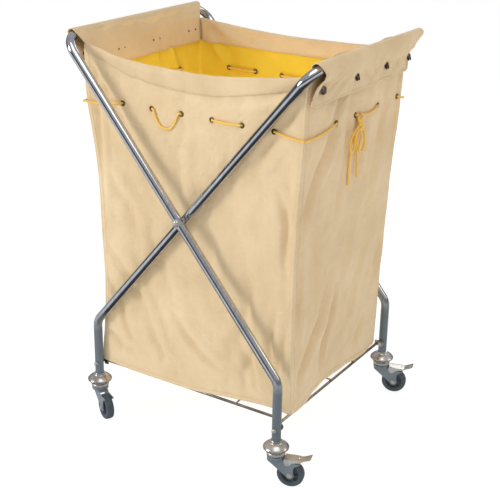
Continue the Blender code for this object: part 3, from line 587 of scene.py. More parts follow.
def rack_sides():
    """The two side rods with the tabs at their ends."""
    rod_z = LEG_BOLT_Z - ROD_BELOW_BOLT
    for side, frame_y in (("right", FRAME_A_Y), ("left", FRAME_B_Y)):
        low, high = node_box("rack_rod_" + side)
        outer = frame_y - TUBE_R - TAB_TO_TUBE
        if side == "right":
            rod_x = low[0] + ROD_TO_BOX
            outline = eye_outline(rod_x)
        else:
            rod_x = high[0] - ROD_TO_BOX
            outline = hook_outline(rod_x)
        shapes = [tapered_rod((rod_x, -outer, rod_z), (rod_x, outer, rod_z), ROD_R)]
        for end in (-1, 1):
            shapes.append(plate(outline, "Y", *sorted((end * (outer - TAB_THICK), end * outer))))
        obj = piece("rod_" + side, merged(*shapes), "wire", "rack",
                    "rack_rod_" + side, bevel=0.0004)
        if side == "left":
            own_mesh(obj)


# ---------------------------------------------------------------- casters
WHEEL_R = 0.0325
TRAIL = 0.037
CHEEK_IN, CHEEK_OUT = 0.0108, 0.0125
FORK_TOP = 0.0706
STEM_TOP = 0.134


def yaw_of(corner):
    """How far a caster is turned about its stem, from its wheel's axis."""
    axis = JOINTS["wheel_spin_" + corner]["axis"]
    return math.atan2(-axis[0], axis[1])


def fork_shape():
    """Two stamped cheeks under a turntable, with a hood over the wheel."""
    axle = (TRAIL, WHEEL_R)
    top = FORK_TOP
    outline = [(-0.0188, top), (-0.0182, 0.0672), (-0.0165, 0.0635)]
    outline += arc(axle, 0.0102, 204, 350, 18)
    outline += [(axle[0] + 0.0076, 0.0430), (axle[0] + 0.0084, 0.0500), (axle[0] + 0.0105, 0.0555),
                (axle[0] + 0.0150, 0.0592), (axle[0] + 0.0205, 0.0612), (axle[0] + 0.0225, 0.0626),
                (axle[0] + 0.0225, 0.0655), (0.0265, 0.0658), (0.0240, 0.0675), (0.0232, top)]
    shapes = [plate(outline, "Y", CHEEK_IN, CHEEK_OUT), plate(outline, "Y", -CHEEK_OUT, -CHEEK_IN)]
    roof = [(-0.0186, top), (-0.0180, 0.0672), (0.0250, 0.0672), (0.0232, top)]
    shapes.append(plate(roof, "Y", -CHEEK_IN, CHEEK_IN))
    front = [(-0.0186, 0.0680), (-0.0164, 0.0633), (-0.0150, 0.0640), (-0.0170, 0.0685)]
    shapes.append(plate(front, "Y", -CHEEK_IN, CHEEK_IN))
    turntable = [(0.0054, 0.0676), (0.0172, 0.0676), (0.0196, 0.0688), (0.0212, 0.0706),
                 (0.0214, 0.0742), (0.0206, 0.0766), (0.0190, 0.0775), (0.0054, 0.0775)]
    shapes.append(lathe(turntable, 56))
    for sign in (-1, 1):
        rivet = [(0.0, sign * (CHEEK_OUT + 0.0014)), (0.0014, sign * (CHEEK_OUT + 0.0012)),
                 (0.0023, sign * (CHEEK_OUT + 0.0003)), (0.0023, sign * (CHEEK_OUT - 0.0006)),
                 (0.0, sign * (CHEEK_OUT - 0.0006))]
        shapes.append(lathe(rivet, 20, "Y", (0.0285, 0, 0.0590)))
    return merged(*shapes)


def axle_shape():
    """A domed rivet head outside, and a washer and a nut on the far side."""
    head = CHEEK_OUT
    dome = [(0.0, head + 0.0044), (0.0022, head + 0.0040), (0.0042, head + 0.0027),
            (0.0052, head + 0.0009), (0.0064, head + 0.0009), (0.0064, head), (0.0, head)]
    shapes = [lathe(smooth_profile(dome), 36, "Y", (TRAIL, 0, WHEEL_R))]
    shapes.append(lathe([(0.0, -head), (0.0066, -head), (0.0066, -head - 0.0009),
                         (0.0, -head - 0.0009)], 32, "Y", (TRAIL, 0, WHEEL_R)))
    nut = [(TRAIL + a, WHEEL_R + b) for a, b in hexagon(0.0056)]
    shapes.append(plate(nut, "Y", -head - 0.0037, -head - 0.0009))
    shapes.append(lathe([(0.0, -head), (0.0039, -head), (0.0039, head), (0.0, head)], 24, "Y",
                        (TRAIL, 0, WHEEL_R)))
    return merged(*shapes)


def tyre_shape():
    """A tyre with a groove in each side wall and a crowned tread."""
    half = [(0.0213, 0.0086), (0.0224, 0.0096), (0.0244, 0.0100), (0.0252, 0.0096),
            (0.0262, 0.0096), (0.0270, 0.0100), (0.0292, 0.0099), (0.0311, 0.0088),
            (0.0321, 0.0066), (0.0325, 0.0036), (0.0325, 0.0012)]
    profile = half + [(r, -y) for r, y in half[::-1]]
    return lathe(profile, 80, "Y")


def hub_shape():
    """A dished hub with six ribs."""
    half = [(0.0043, 0.0098), (0.0080, 0.0098), (0.0086, 0.0092), (0.0092, 0.0052),
            (0.0104, 0.0044), (0.0172, 0.0044), (0.0186, 0.0054), (0.0196, 0.0082),
            (0.0206, 0.0089), (0.0212, 0.0085)]
    profile = half + [(r, -y) for r, y in half[::-1]]
    shapes = [lathe(profile, 64, "Y")]
    for i in range(6):
        rib = plate([(0.0088, -0.0008), (0.0190, -0.0008), (0.0190, 0.0008), (0.0088, 0.0008)],
                    "Y", -0.0078, 0.0078)
        shapes.append(moved(rib, Matrix.Rotation(math.radians(60 * i), 4, "Y")))
    return merged(*shapes)


def pedal_shape():
    """A pressed brake pedal: a flanged plate with a slot, kinked up into a ribbed tail."""
    stations = [  # x, height, half width, flange depth
        (0.0222, 0.0748, 0.0142, 0.0100), (0.0260, 0.0748, 0.0144, 0.0165),
        (0.0310, 0.0748, 0.0144, 0.0170), (0.0355, 0.0748, 0.0144, 0.0160),
        (0.0400, 0.0748, 0.0144, 0.0100), (0.0450, 0.0748, 0.0144, 0.0076),
        (0.0500, 0.0748, 0.0143, 0.0064), (0.0550, 0.0748, 0.0142, 0.0056),
        (0.0590, 0.0745, 0.0140, 0.0046), (0.0620, 0.0742, 0.0136, 0.0030),
        (0.0650, 0.0748, 0.0133, 0.0018), (0.0700, 0.0766, 0.0133, 0.0012),
        (0.0760, 0.0790, 0.0137, 0.0010), (0.0810, 0.0813, 0.0138, 0.0009),
        (0.0840, 0.0829, 0.0128, 0.0008), (0.0858, 0.0841, 0.0104, 0.0006)]
    shares = [-1.0, -1.0, -0.97, -0.8, -0.45, -0.15, 0.15, 0.45, 0.8, 0.97, 1.0, 1.0]
    depths = [1.0, 0.45, 0.05, 0, 0, 0, 0, 0, 0, 0.05, 0.45, 1.0]
    thick = 0.0014
    verts = []
    for layer in (0.0, -thick):
        for x, z, half, flange in stations:
            for share, depth in zip(shares, depths):
                inset = abs(layer) * (1 if depth > 0.1 else 0)
                y = share * (half - inset)
                verts.append((x, y, z + (layer if depth < 0.1 else 0) - depth * flange))
    rows, cols = len(stations), len(shares)
    size = rows * cols
    faces, holes = [], {(7, 4), (7, 5), (7, 6)}
    for i in range(rows - 1):
        for j in range(cols - 1):
            if (i, j) in holes:
                continue
            a, b = i * cols + j, (i + 1) * cols + j
            faces += [(a, a + 1, b + 1, b), (size + a, size + b, size + b + 1, size + a + 1)]
    edge = {}
    for f in faces:
        for a, b in zip(f, f[1:] + f[:1]):
            edge[(a, b)] = edge.get((a, b), 0) + 1
    rims = [(a, b) for (a, b) in edge if (b, a) not in edge and a < size and b < size]
    faces += [(b, a, size + a, size + b) for a, b in rims]
    shapes = [(verts, faces)]
    for x, z in ((0.0725, 0.0778), (0.0765, 0.0795), (0.0805, 0.0813)):
        shapes.append(tapered_rod((x, -0.0095, z), (x, 0.0095, z), 0.0009, 10))
    shapes.append(plate([(0.0572, 0.0740), (0.0572, 0.0622), (0.0580, 0.0616), (0.0592, 0.0616),
                         (0.0600, 0.0622), (0.0600, 0.0740)], "Y", -0.008, 0.008))
    pin = [(0.0, 0.0153), (0.0018, 0.0150), (0.0024, 0.0140), (0.0024, 0.0125), (0.0, 0.0125)]
    for sign in (-1, 1):
        shapes.append(lathe([(r, sign * y) for r, y in pin], 20, "Y", (0.031, 0, 0.0605)))
    return merged(*shapes)


def casters():
    """Stem and head, bumper disc, fork, wheel and, on the right, brake pedal."""
    head = [(0.0, 0.0682), (0.0050, 0.0682), (0.0050, 0.0781), (0.0205, 0.0781),
            (0.0218, 0.0792), (0.0225, 0.0808), (0.0224, 0.0838), (0.0214, 0.0857),
            (0.0196, 0.0868), (0.0058, 0.0869), (0.0058, LEG_FOOT_Z), (0.0090, LEG_FOOT_Z + 0.0004),
            (0.0090, STEM_TOP), (0.0, STEM_TOP)]
    # A thin near-black disc filling the gap between the turntable and the head: painted shade
    gap_shade_disc = [(0.0060, 0.0774), (0.0186, 0.0774), (0.0190, 0.0778), (0.0186, 0.0782),
            (0.0060, 0.0782)]
    bumper = [(0.0062, 0.0873), (0.0196, 0.0873), (0.0222, 0.0880), (0.0262, 0.0912),
              (0.0298, 0.0946), (0.0309, 0.0958), (0.0312, 0.0974), (0.0306, 0.0992),
              (0.0290, 0.1010), (0.0262, 0.1036), (0.0228, 0.1062), (0.0186, 0.1084),
              (0.0158, 0.1096), (0.0146, 0.1110), (0.0141, 0.1134), (0.0130, 0.1150),
              (0.0112, 0.1153), (0.0111, LEG_FOOT_Z - 0.0002), (0.0062, LEG_FOOT_Z - 0.0002)]
    for corner in ("fr", "br", "fl", "bl"):
        low, high = node_box("caster_stem_" + corner)
        foot = Matrix.Translation(((low[0] + high[0]) / 2, (low[1] + high[1]) / 2, 0))
        turned = foot @ Matrix.Rotation(yaw_of(corner), 4, "Z")
        wheel = turned @ Matrix.Translation((TRAIL, 0, WHEEL_R))
        holder = "frame_a" if corner[1] == "r" else "frame_b"
        swivel = "swivel_" + corner
        parts = [
            ("head", lathe(head, 56), foot, "zinc", holder, "caster_stem", 0.0003, 35.0),
            # Painted shade: the near-black disc in the gap under the head
            ("gap_shade_disc", lathe(gap_shade_disc, 40), foot, "dark", swivel, None, 0.0, 35.0),
            ("disc", lathe(bumper, 72), foot, "bumper", holder, "bumper", 0.0, 25.0),
            ("fork", fork_shape(), turned, "fork", swivel, "caster_fork", 0.0004, 35.0),
            ("axle", axle_shape(), turned, "zinc", swivel, "caster_axle", 0.0002, 35.0),
            ("tyre", tyre_shape(), wheel, "tyre", "wheel_" + corner, "caster_tyre", 0.0, 35.0),
            ("hub", hub_shape(), wheel, "hub", "wheel_" + corner, "caster_hub", 0.0, 35.0)]
        if corner[1] == "r":
            parts.append(("pedal_plate", pedal_shape(), turned, "zinc", "pedal_" + corner,
                          "brake_pedal", 0.0003, 35.0))
        for name, shape, place, look, body, node, bevel, sharp in parts:
            piece(f"{name}_{corner}", moved(shape, place), look, body,
                  f"{node}_{corner}" if node else (), bevel=bevel, sharp=sharp)


# ---------------------------------------------------------------- bag walls
def smoothstep(low, high, value):
    """0 below low, 1 above high and a smooth rise between."""
    t = np.clip((value - low) / (high - low), 0, 1)
    return t * t * (3 - 2 * t)


def curve_through(points):
    """A function that goes smoothly through (place, value) pairs."""
    places = np.array([p for p, _ in points], float)
    values = np.array([v for _, v in points], float)
    slopes = np.gradient(values, places)

    def value_at(place):
        place = np.clip(np.asarray(place, float), places[0], places[-1])
        i = np.clip(np.searchsorted(places, place, side="right") - 1, 0, len(places) - 2)
        span = places[i + 1] - places[i]
        t = (place - places[i]) / span
        h = [2 * t ** 3 - 3 * t ** 2 + 1, t ** 3 - 2 * t ** 2 + t,
             -2 * t ** 3 + 3 * t ** 2, t ** 3 - t ** 2]
        return (h[0] * values[i] + h[1] * span * slopes[i]
                + h[2] * values[i + 1] + h[3] * span * slopes[i + 1])

    return value_at


# Where each upright edge of the bag hangs, (height, distance from the middle plane)
EDGE_X = {
    "front_right": curve_through([(0.14, 0.288), (0.20, 0.286), (0.35, 0.282), (0.50, 0.283),
                                  (0.65, 0.287), (0.76, 0.2935), (0.832, 0.2975), (0.93, 0.3005),
                                  (0.99, 0.3075)]),
    "back_right": curve_through([(0.14, 0.266), (0.25, 0.269), (0.40, 0.274), (0.55, 0.280),
                                 (0.70, 0.289), (0.76, 0.2935), (0.832, 0.2975), (0.93, 0.3015),
                                 (0.99, 0.3075)]),
    "front_left": curve_through([(0.14, 0.278), (0.20, 0.270), (0.32, 0.263), (0.45, 0.263),
                                 (0.58, 0.268), (0.70, 0.279), (0.76, 0.288), (0.832, 0.2975),
                                 (0.93, 0.2995), (0.99, 0.3075)]),
    "back_left": curve_through([(0.14, 0.272), (0.25, 0.269), (0.40, 0.270), (0.55, 0.276),
                                (0.70, 0.287), (0.76, 0.2925), (0.832, 0.2975), (0.93, 0.3005),
                                (0.99, 0.3075)]),
}
HALF_DEPTH = curve_through([(0.14, 0.2366), (0.17, 0.2360), (0.30, 0.2330), (0.60, 0.2325),
                            (0.76, 0.2326), (0.832, 0.2328), (0.93, 0.2335), (0.99, 0.2335)])
CORNER_R = 0.011
FRONT_TOP = curve_through([(-0.30, 0.958), (-0.27, 0.9535), (-0.21, 0.940), (-0.12, 0.9305),
                           (-0.03, 0.927), (0.07, 0.9285), (0.16, 0.938), (0.24, 0.948),
                           (0.30, 0.957)])
BACK_TOP = curve_through([(-0.30, 0.952), (-0.20, 0.942), (-0.08, 0.935), (0.08, 0.934),
                          (0.20, 0.938), (0.30, 0.952)])
SIDE_TOP = curve_through([(-0.234, 0.955), (-0.215, 0.958), (-0.195, 0.975), (-0.175, 0.981),
                          (0.0, 0.982), (0.175, 0.981), (0.195, 0.975), (0.215, 0.958),
                          (0.234, 0.952)])
FRONT_FOOT = curve_through([(-0.29, 0.1490), (-0.24, 0.1444), (-0.18, 0.1430), (-0.08, 0.1430),
                            (-0.01, 0.1438), (0.06, 0.1505), (0.10, 0.1560), (0.17, 0.1630),
                            (0.25, 0.1690), (0.29, 0.1660)])
BACK_FOOT = curve_through([(-0.29, 0.152), (-0.10, 0.150), (0.05, 0.149), (0.20, 0.151),
                           (0.29, 0.153)])
RIGHT_FOOT = curve_through([(-0.234, 0.1640), (-0.20, 0.1620), (-0.13, 0.1720), (-0.05, 0.1765),
                            (0.05, 0.1680), (0.12, 0.1560), (0.18, 0.1510), (0.234, 0.1530)])
LEFT_FOOT = curve_through([(-0.234, 0.1510), (-0.10, 0.1530), (0.05, 0.1550), (0.234, 0.1520)])

# Folds: points (along the face, height) of the valley's line, half width, depth
FOLDS = {
    "front": [
        (((-0.262, 0.240), (-0.238, 0.228), (-0.200, 0.203), (-0.150, 0.186)), 0.012, 0.0050),
        (((-0.212, 0.205), (-0.206, 0.180), (-0.208, 0.150)), 0.008, 0.0022),
        (((-0.040, 0.330), (-0.008, 0.288), (0.026, 0.258), (0.068, 0.231), (0.100, 0.226)),
         0.011, 0.0050),
        (((-0.036, 0.200), (-0.033, 0.175), (-0.028, 0.150)), 0.007, 0.0020),
        (((0.080, 0.205), (0.084, 0.180), (0.082, 0.160)), 0.007, 0.0018),
        (((-0.285, 0.925), (-0.255, 0.878), (-0.215, 0.830), (-0.150, 0.735), (-0.110, 0.655)),
         0.013, 0.0042),
        (((-0.272, 0.900), (-0.262, 0.820), (-0.258, 0.700), (-0.255, 0.560)), 0.010, 0.0034),
        (((-0.288, 0.945), (-0.225, 0.925), (-0.140, 0.903), (-0.040, 0.892)), 0.010, 0.0030),
        (((-0.280, 0.930), (-0.215, 0.905), (-0.150, 0.884), (-0.060, 0.872)), 0.009, 0.0020),
        (((0.285, 0.935), (0.220, 0.905), (0.130, 0.884), (0.060, 0.877)), 0.010, 0.0026),
        (((0.285, 0.900), (0.250, 0.850), (0.205, 0.790), (0.165, 0.715)), 0.014, 0.0036),
        (((0.270, 0.760), (0.262, 0.640), (0.266, 0.500), (0.262, 0.380)), 0.012, 0.0032),
        (((0.276, 0.420), (0.262, 0.330), (0.250, 0.260), (0.262, 0.190)), 0.011, 0.0048),
        (((0.285, 0.185), (0.268, 0.210), (0.256, 0.260)), 0.008, 0.0036),
        (((-0.245, 0.470), (-0.200, 0.420), (-0.160, 0.350), (-0.140, 0.290)), 0.016, 0.0034),
        (((-0.120, 0.520), (-0.070, 0.440), (-0.050, 0.350)), 0.018, 0.0028),
        (((0.030, 0.640), (0.065, 0.540), (0.060, 0.440)), 0.020, 0.0024),
        (((0.150, 0.560), (0.170, 0.450), (0.150, 0.340), (0.120, 0.280)), 0.016, 0.0030),
        (((-0.060, 0.780), (-0.030, 0.700), (-0.040, 0.620)), 0.018, 0.0018),
        (((0.110, 0.800), (0.100, 0.720), (0.120, 0.650)), 0.015, 0.0016),
        (((-0.230, 0.640), (-0.180, 0.590), (-0.150, 0.520)), 0.015, 0.0026),
        (((-0.110, 0.260), (-0.080, 0.220), (-0.085, 0.170)), 0.012, 0.0022),
        (((-0.250, 0.380), (-0.215, 0.330), (-0.190, 0.260), (-0.165, 0.215)), 0.012, 0.0040),
        (((-0.180, 0.400), (-0.130, 0.330), (-0.100, 0.240), (-0.060, 0.190)), 0.013, 0.0034),
        (((0.150, 0.300), (0.185, 0.245), (0.200, 0.190)), 0.012, 0.0036),
        (((0.245, 0.420), (0.225, 0.330), (0.240, 0.240)), 0.011, 0.0040),
        (((0.240, 0.700), (0.262, 0.620), (0.255, 0.520)), 0.010, 0.0040),
        (((-0.020, 0.860), (-0.010, 0.800), (-0.028, 0.740), (-0.020, 0.660)), 0.012, 0.0022),
        (((0.190, 0.300), (0.160, 0.240), (0.165, 0.185)), 0.013, 0.0024),
        (((-0.255, 0.330), (-0.235, 0.300), (-0.228, 0.260)), 0.009, 0.0026),
    ],
    "right": [
        (((-0.070, 0.905), (-0.092, 0.860), (-0.132, 0.775), (-0.183, 0.690), (-0.205, 0.610)),
         0.014, 0.0062),
        (((-0.028, 0.890), (-0.036, 0.800), (-0.045, 0.700), (-0.060, 0.580)), 0.012, 0.0036),
        (((0.050, 0.880), (0.045, 0.780), (0.040, 0.660)), 0.013, 0.0028),
        (((0.150, 0.900), (0.138, 0.800), (0.125, 0.690), (0.120, 0.580)), 0.014, 0.0030),
        (((-0.025, 0.420), (-0.045, 0.344), (-0.073, 0.299), (-0.088, 0.250), (-0.086, 0.205)),
         0.011, 0.0056),
        (((-0.060, 0.470), (-0.100, 0.360), (-0.150, 0.300), (-0.193, 0.255), (-0.210, 0.200)),
         0.013, 0.0060),
        (((-0.212, 0.560), (-0.205, 0.470), (-0.198, 0.380), (-0.208, 0.300)), 0.011, 0.0040),
        (((-0.150, 0.590), (-0.140, 0.500), (-0.115, 0.420)), 0.015, 0.0030),
        (((0.030, 0.560), (0.010, 0.470), (-0.020, 0.380)), 0.016, 0.0028),
        (((0.110, 0.470), (0.075, 0.380), (0.060, 0.300), (0.070, 0.240)), 0.016, 0.0030),
        (((0.200, 0.520), (0.195, 0.420), (0.170, 0.330)), 0.014, 0.0026),
        (((0.140, 0.270), (0.110, 0.225), (0.100, 0.190)), 0.012, 0.0022),
        (((-0.228, 0.900), (-0.215, 0.840), (-0.222, 0.760)), 0.009, 0.0034),
        (((0.215, 0.900), (0.210, 0.800), (0.214, 0.700)), 0.009, 0.0030),
    ],
}
# The hidden faces borrow the folds of the faces opposite, mirrored along the face
FOLDS["back"] = [(tuple((0.02 - x, z + 0.012) for x, z in line), width, depth * 0.9)
                 for line, width, depth in FOLDS["front"][4:22]]
FOLDS["left"] = [(tuple((0.015 - y, z + 0.01) for y, z in line), width, depth * 0.85)
                 for line, width, depth in FOLDS["right"]]


FOLD_DEPTH = 2.1           # every fold is this many times as deep as its line says


def fold_relief(face, along, z):
    """How far the cloth lies in or out at places on a face, from the folds by hand."""
    relief = np.zeros_like(z)
    for line, width, depth in FOLDS[face]:
        line = np.array(line, float)
        best = np.full(z.shape, np.inf)
        signed = np.zeros_like(z)
        share = np.zeros_like(z)
        total = len(line) - 1
        for i in range(total):
            a, b = line[i], line[i + 1]
            run = b - a
            length = np.hypot(*run)
            t = ((along - a[0]) * run[0] + (z - a[1]) * run[1]) / length ** 2
            t = np.clip(t, 0, 1)
            dx, dz = along - a[0] - t * run[0], z - a[1] - t * run[1]
            dist = np.hypot(dx, dz)
            closer = dist < best
            best = np.where(closer, dist, best)
            side = np.sign(run[0] * dz - run[1] * dx)
            signed = np.where(closer, side * dist, signed)
            share = np.where(closer, (i + t) / total, share)
        fade = np.sin(np.pi * np.clip(share * 0.92 + 0.06, 0, 1)) ** 0.6
        fade *= np.exp(-np.maximum(best - 2.6 * width, 0) / width)
        valley = np.exp(-(signed / width) ** 2)
        ridge = np.exp(-((signed - 1.7 * width) / (1.15 * width)) ** 2)
        far_ridge = np.exp(-((signed + 1.9 * width) / (1.3 * width)) ** 2)
        relief += fade * depth * (0.75 * ridge + 0.35 * far_ridge - valley)
    return relief * FOLD_DEPTH


class Waves:
    """Smooth seeded unevenness: the sum of a few random plane waves."""

    count = 9

    def __init__(self, seed, wavelength):
        rng = np.random.default_rng(seed)
        turn = rng.uniform(0, np.pi, self.count)
        size = 2 * np.pi / (wavelength * rng.uniform(0.7, 1.5, self.count))
        self.k = np.stack([np.cos(turn) * size, np.sin(turn) * size * 0.7], 1)
        self.phase = rng.uniform(0, 2 * np.pi, self.count)

    def __call__(self, along, z):
        angles = np.multiply.outer(along, self.k[:, 0]) + np.multiply.outer(z, self.k[:, 1])
        return np.sin(angles + self.phase).sum(-1) / math.sqrt(self.count)


FACES = ("front", "right", "back", "left")
BROAD = {face: Waves(11 + i, 0.21) for i, face in enumerate(FACES)}
CREASE = {face: Waves(31 + i, 0.060) for i, face in enumerate(FACES)}
FINE = {face: Waves(51 + i, 0.024) for i, face in enumerate(FACES)}
COLUMN_SPACING = 0.0042
CORNER_BENDS = (1 / 4, 2 / 4, 3 / 4)
FACE_LENGTHS = {"front": 0.55, "right": 0.445, "back": 0.55, "left": 0.445}


def wall_columns():
    """(face, share along it, share round its leading corner) for each column of the walls."""
    columns = []
    for face, length in FACE_LENGTHS.items():
        count = round(length / COLUMN_SPACING)
        columns += [(face, i / count, 0.0) for i in range(count + 1)]
        columns += [(face, 1.0, bend) for bend in CORNER_BENDS]
    return columns


def corner_positions(z):
    """The four corners of the bag at heights z, front left first, in the order of FACES."""
    depth = HALF_DEPTH(z)
    return {
        "front": (-EDGE_X["front_left"](z), -depth), "right": (EDGE_X["front_right"](z), -depth),
        "back": (EDGE_X["back_right"](z), depth), "left": (-EDGE_X["back_left"](z), depth),
    }


# Heights of the unevenness on top of the folds
BROAD_HEIGHT = 0.0020
CREASE_HEIGHT = 0.00095
FINE_HEIGHT = 0.00018
FINE_MORE_AT_FOOT = 0.00026
FOOT_ZONE = (0.16, 0.30)
STRING_CALM = 0.75         # the share of the relief that the drawstring takes away
STRING_BAND = 0.020


def relief_on(face, along, z, amount=1.0):
    """Outward unevenness of the canvas on a face."""
    low = smoothstep(*FOOT_ZONE, z)
    relief = fold_relief(face, along, z)
    relief = relief + BROAD_HEIGHT * BROAD[face](along, z)
    relief = relief + CREASE_HEIGHT * CREASE[face](along, z)
    relief = relief + (FINE_HEIGHT + FINE_MORE_AT_FOOT * (1 - low)) * FINE[face](along, z)
    calm = 1 - STRING_CALM * np.exp(-((z - EYELET_Z) / STRING_BAND) ** 2)
    return relief * calm * amount


TOPS = {"front": FRONT_TOP, "back": BACK_TOP, "right": SIDE_TOP, "left": SIDE_TOP}
FEET = {"front": FRONT_FOOT, "back": BACK_FOOT, "right": RIGHT_FOOT, "left": LEFT_FOOT}
LIMIT_Y = 0.2367           # the cloth's mid-surface stays this side of the inner tubes
LIMIT_EASE = 0.0035
RACK_CLEAR_Z = (0.152, 0.190)
EYELET_Z = 0.832
EDGE_SHARE = 0.04          # the outer shares of a face, where the relief fades
EDGE_RELIEF = 0.35         # the share of the relief that is left at an upright edge
# Roughly how far each face reaches to either side of its middle
HALF_LENGTHS = {"front": 0.29, "right": 0.234, "back": 0.29, "left": 0.234}


def place_along(face, share):
    """Roughly where a share along a face is, for the curves of its top and foot."""
    return HALF_LENGTHS[face] * (2 * share - 1) * (1 if face in ("front", "right") else -1)


def column_heights(column, follower, rows, tops, feet):
    """Heights of a column's points; round a corner the two faces' curves are blended."""
    face, share, bend = column
    here = place_along(face, share)
    top, foot = tops[face](here), feet[face](here)
    if bend:
        there = place_along(follower, 0.0)
        top = (1 - bend) * top + bend * tops[follower](there)
        foot = (1 - bend) * foot + bend * feet[follower](there)
    return foot + (top - foot) * rows


def column_plan(column, z):
    """A column's smooth points in plan and the outward directions there, at heights z."""
    face, share, bend = column
    index = FACES.index(face)
    corners = corner_positions(z)
    start, end, next_end = (np.stack(corners[FACES[(index + i) % 4]], -1) for i in range(3))
    run = end - start
    length = np.linalg.norm(run, axis=-1, keepdims=True)
    ahead = run / length
    if not bend:
        flat = start + ahead * (CORNER_R + (length - 2 * CORNER_R) * share)
        return flat, np.stack([ahead[:, 1], -ahead[:, 0]], -1)
    turn_to = next_end - end
    turn_to /= np.linalg.norm(turn_to, axis=-1, keepdims=True)
    angle = bend * np.pi / 2
    centre = end - ahead * CORNER_R + turn_to * CORNER_R
    normal = -turn_to * math.cos(angle) + ahead * math.sin(angle)
    return centre + normal * CORNER_R, normal


def wall_points(columns, rows, lift=0.0, amount=1.0, tops=TOPS, feet=FEET):
    """Grid of points on the bag's walls, shape (columns, rows, 3)."""
    grid = np.zeros((len(columns), len(rows), 3))
    for c, column in enumerate(columns):
        face, share, bend = column
        follower = FACES[(FACES.index(face) + 1) % 4]
        z = column_heights(column, follower, rows, tops, feet)
        flat, normal = column_plan(column, z)
        along = flat[:, 0] if face in ("front", "back") else flat[:, 1]
        relief = relief_on(face, along, z, amount)
        if face in ("front", "back"):
            # The foot hangs in front of the rack's rods, so no valley reaches them
            relief = np.where(relief < 0, relief * smoothstep(*RACK_CLEAR_Z, z), relief)
        if bend:
            relief = relief * EDGE_RELIEF
        elif share < EDGE_SHARE or share > 1 - EDGE_SHARE:
            inwards = min(1.0, abs(share - round(share)) / EDGE_SHARE)
            relief = relief * (EDGE_RELIEF + (1 - EDGE_RELIEF) * inwards)
        flat = flat + normal * (relief + lift)[:, None]
        grid[c, :, 0], grid[c, :, 1], grid[c, :, 2] = flat[:, 0], flat[:, 1], z
    grid[:, :, 1] = soft_limit(grid[:, :, 1])
    return grid


def soft_limit(y):
    """Eases the cloth's depth towards LIMIT_Y, so a ridge there is low and not cut off."""
    start = LIMIT_Y - LIMIT_EASE
    over = np.maximum(np.abs(y) - start, 0)
    eased = start + LIMIT_EASE * (1 - np.exp(-over / LIMIT_EASE))
    return np.where(np.abs(y) > start, np.sign(y) * eased, y)


def grid_faces(columns, rows, closed=True):
    """Quads of a grid of points, whose last column meets the first when it is closed."""
    faces = []
    for c in range(columns if closed else columns - 1):
        d = (c + 1) % columns
        for r in range(rows - 1):
            faces.append((c * rows + r, d * rows + r, d * rows + r + 1, c * rows + r + 1))
    return faces


FRONT_EYELETS = (-0.185, -0.102, -0.020, 0.063, 0.142, 0.223)
BACK_EYELETS = (0.223, 0.128, 0.046, -0.038, -0.118, -0.200)
LEFT_EYELETS = (0.133, -0.133)
RIGHT_EYELETS = (-0.096, -0.009, 0.102, 0.205)
EYELET_HOLE = 0.0050       # radius cut from the cloth
NEAR_WALL = 0.02           # only the wall this close to an eyelet is cut
EYELETS = [("front", x) for x in FRONT_EYELETS] + [("back", x) for x in BACK_EYELETS]
EYELETS += [("right", y) for y in RIGHT_EYELETS] + [("left", y) for y in LEFT_EYELETS]


def side_face_x(z):
    """Outer face of the CAD bag's right side panel at a height."""
    share = (z - BAG_FLOOR_Z) / (BAG_TOP_Z - BAG_FLOOR_Z)
    return BAG_BOTTOM_X + share * (BAG_TOP_X - BAG_BOTTOM_X)


def face_point(face, along, lift, z):
    """A point on one of the bag's faces: lift is the distance outwards from mid-cloth."""
    middle = BAG_Y - STAND_IN_CLOTH / 2
    side = side_face_x(z) - STAND_IN_CLOTH / 2
    return {
        "front": Vector((along, -middle - lift, z)),
        "back": Vector((along, middle + lift, z)),
        "right": Vector((side + lift, along, z)),
        "left": Vector((-side - lift, along, z)),
    }[face]


def without_eyelets(points, faces):
    """A wall grid's points and faces with a round hole at each eyelet."""
    flat = np.array(points, float).reshape(-1, 3)
    quads = np.array(faces)
    keep = np.ones(len(quads), bool)
    for face, along in EYELETS:
        spot = np.array(face_point(face, along, 0.0, EYELET_Z))
        level = 1 if face in ("front", "back") else 0
        away = flat - spot
        near = np.abs(away[:, level]) < NEAR_WALL
        away[:, level] = 0.0
        inside = near[quads].all(1) & (np.linalg.norm(away[quads].mean(1), axis=1) < EYELET_HOLE)
        rim = np.intersect1d(quads[inside], quads[keep & ~inside])
        keep &= ~inside
        offset = away[rim]
        offset *= EYELET_HOLE / np.linalg.norm(offset, axis=1, keepdims=True)
        for axis in {0, 1, 2} - {level}:
            flat[rim, axis] = spot[axis] + offset[:, axis]
    return flat, [tuple(quad) for quad in quads[keep]]


def cloth_piece(name, verts, faces, look, thickness=0.0, body="bag", squash=True,
                replaces=(), uvs=None):
    """A finished sheet: thickness applied, riding on its body."""
    obj = mesh_object(name, verts, faces, MATERIALS[look], uvs, sharp=None)
    if thickness:
        solid = obj.modifiers.new("thickness", "SOLIDIFY")
        solid.thickness = thickness
        solid.offset = 0.0
        graph = bpy.context.evaluated_depsgraph_get()
        mesh = bpy.data.meshes.new_from_object(obj.evaluated_get(graph))
        obj.modifiers.clear()
        obj.data = mesh
        obj.data.name = name
    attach(obj, body)
    if replaces:
        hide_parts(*replaces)
    if squash:
        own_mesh(obj)
    return obj


CANVAS_THICK = 0.0012
CANVAS_ROWS = 176
LINER_THICK = 0.0006
LINER_ROWS = 130
LINER_IN = 0.0042          # the liner hangs this far inside the canvas
LINER_TOP = 0.898
LINER_DIP = 0.002          # how far its edge hangs in the middle of a face
LINER_RELIEF = 0.9         # its folds' depth, as a share of the canvas's
LINER_ABOVE_FOOT = 0.005
LINER_LOW = 0.1625

# The liner ends above the canvas's edge and above the bag's bottom
LINER_FEET = {face: (lambda x, foot=FEET[face]: np.maximum(foot(x) + LINER_ABOVE_FOOT, LINER_LOW))
              for face in FACES}


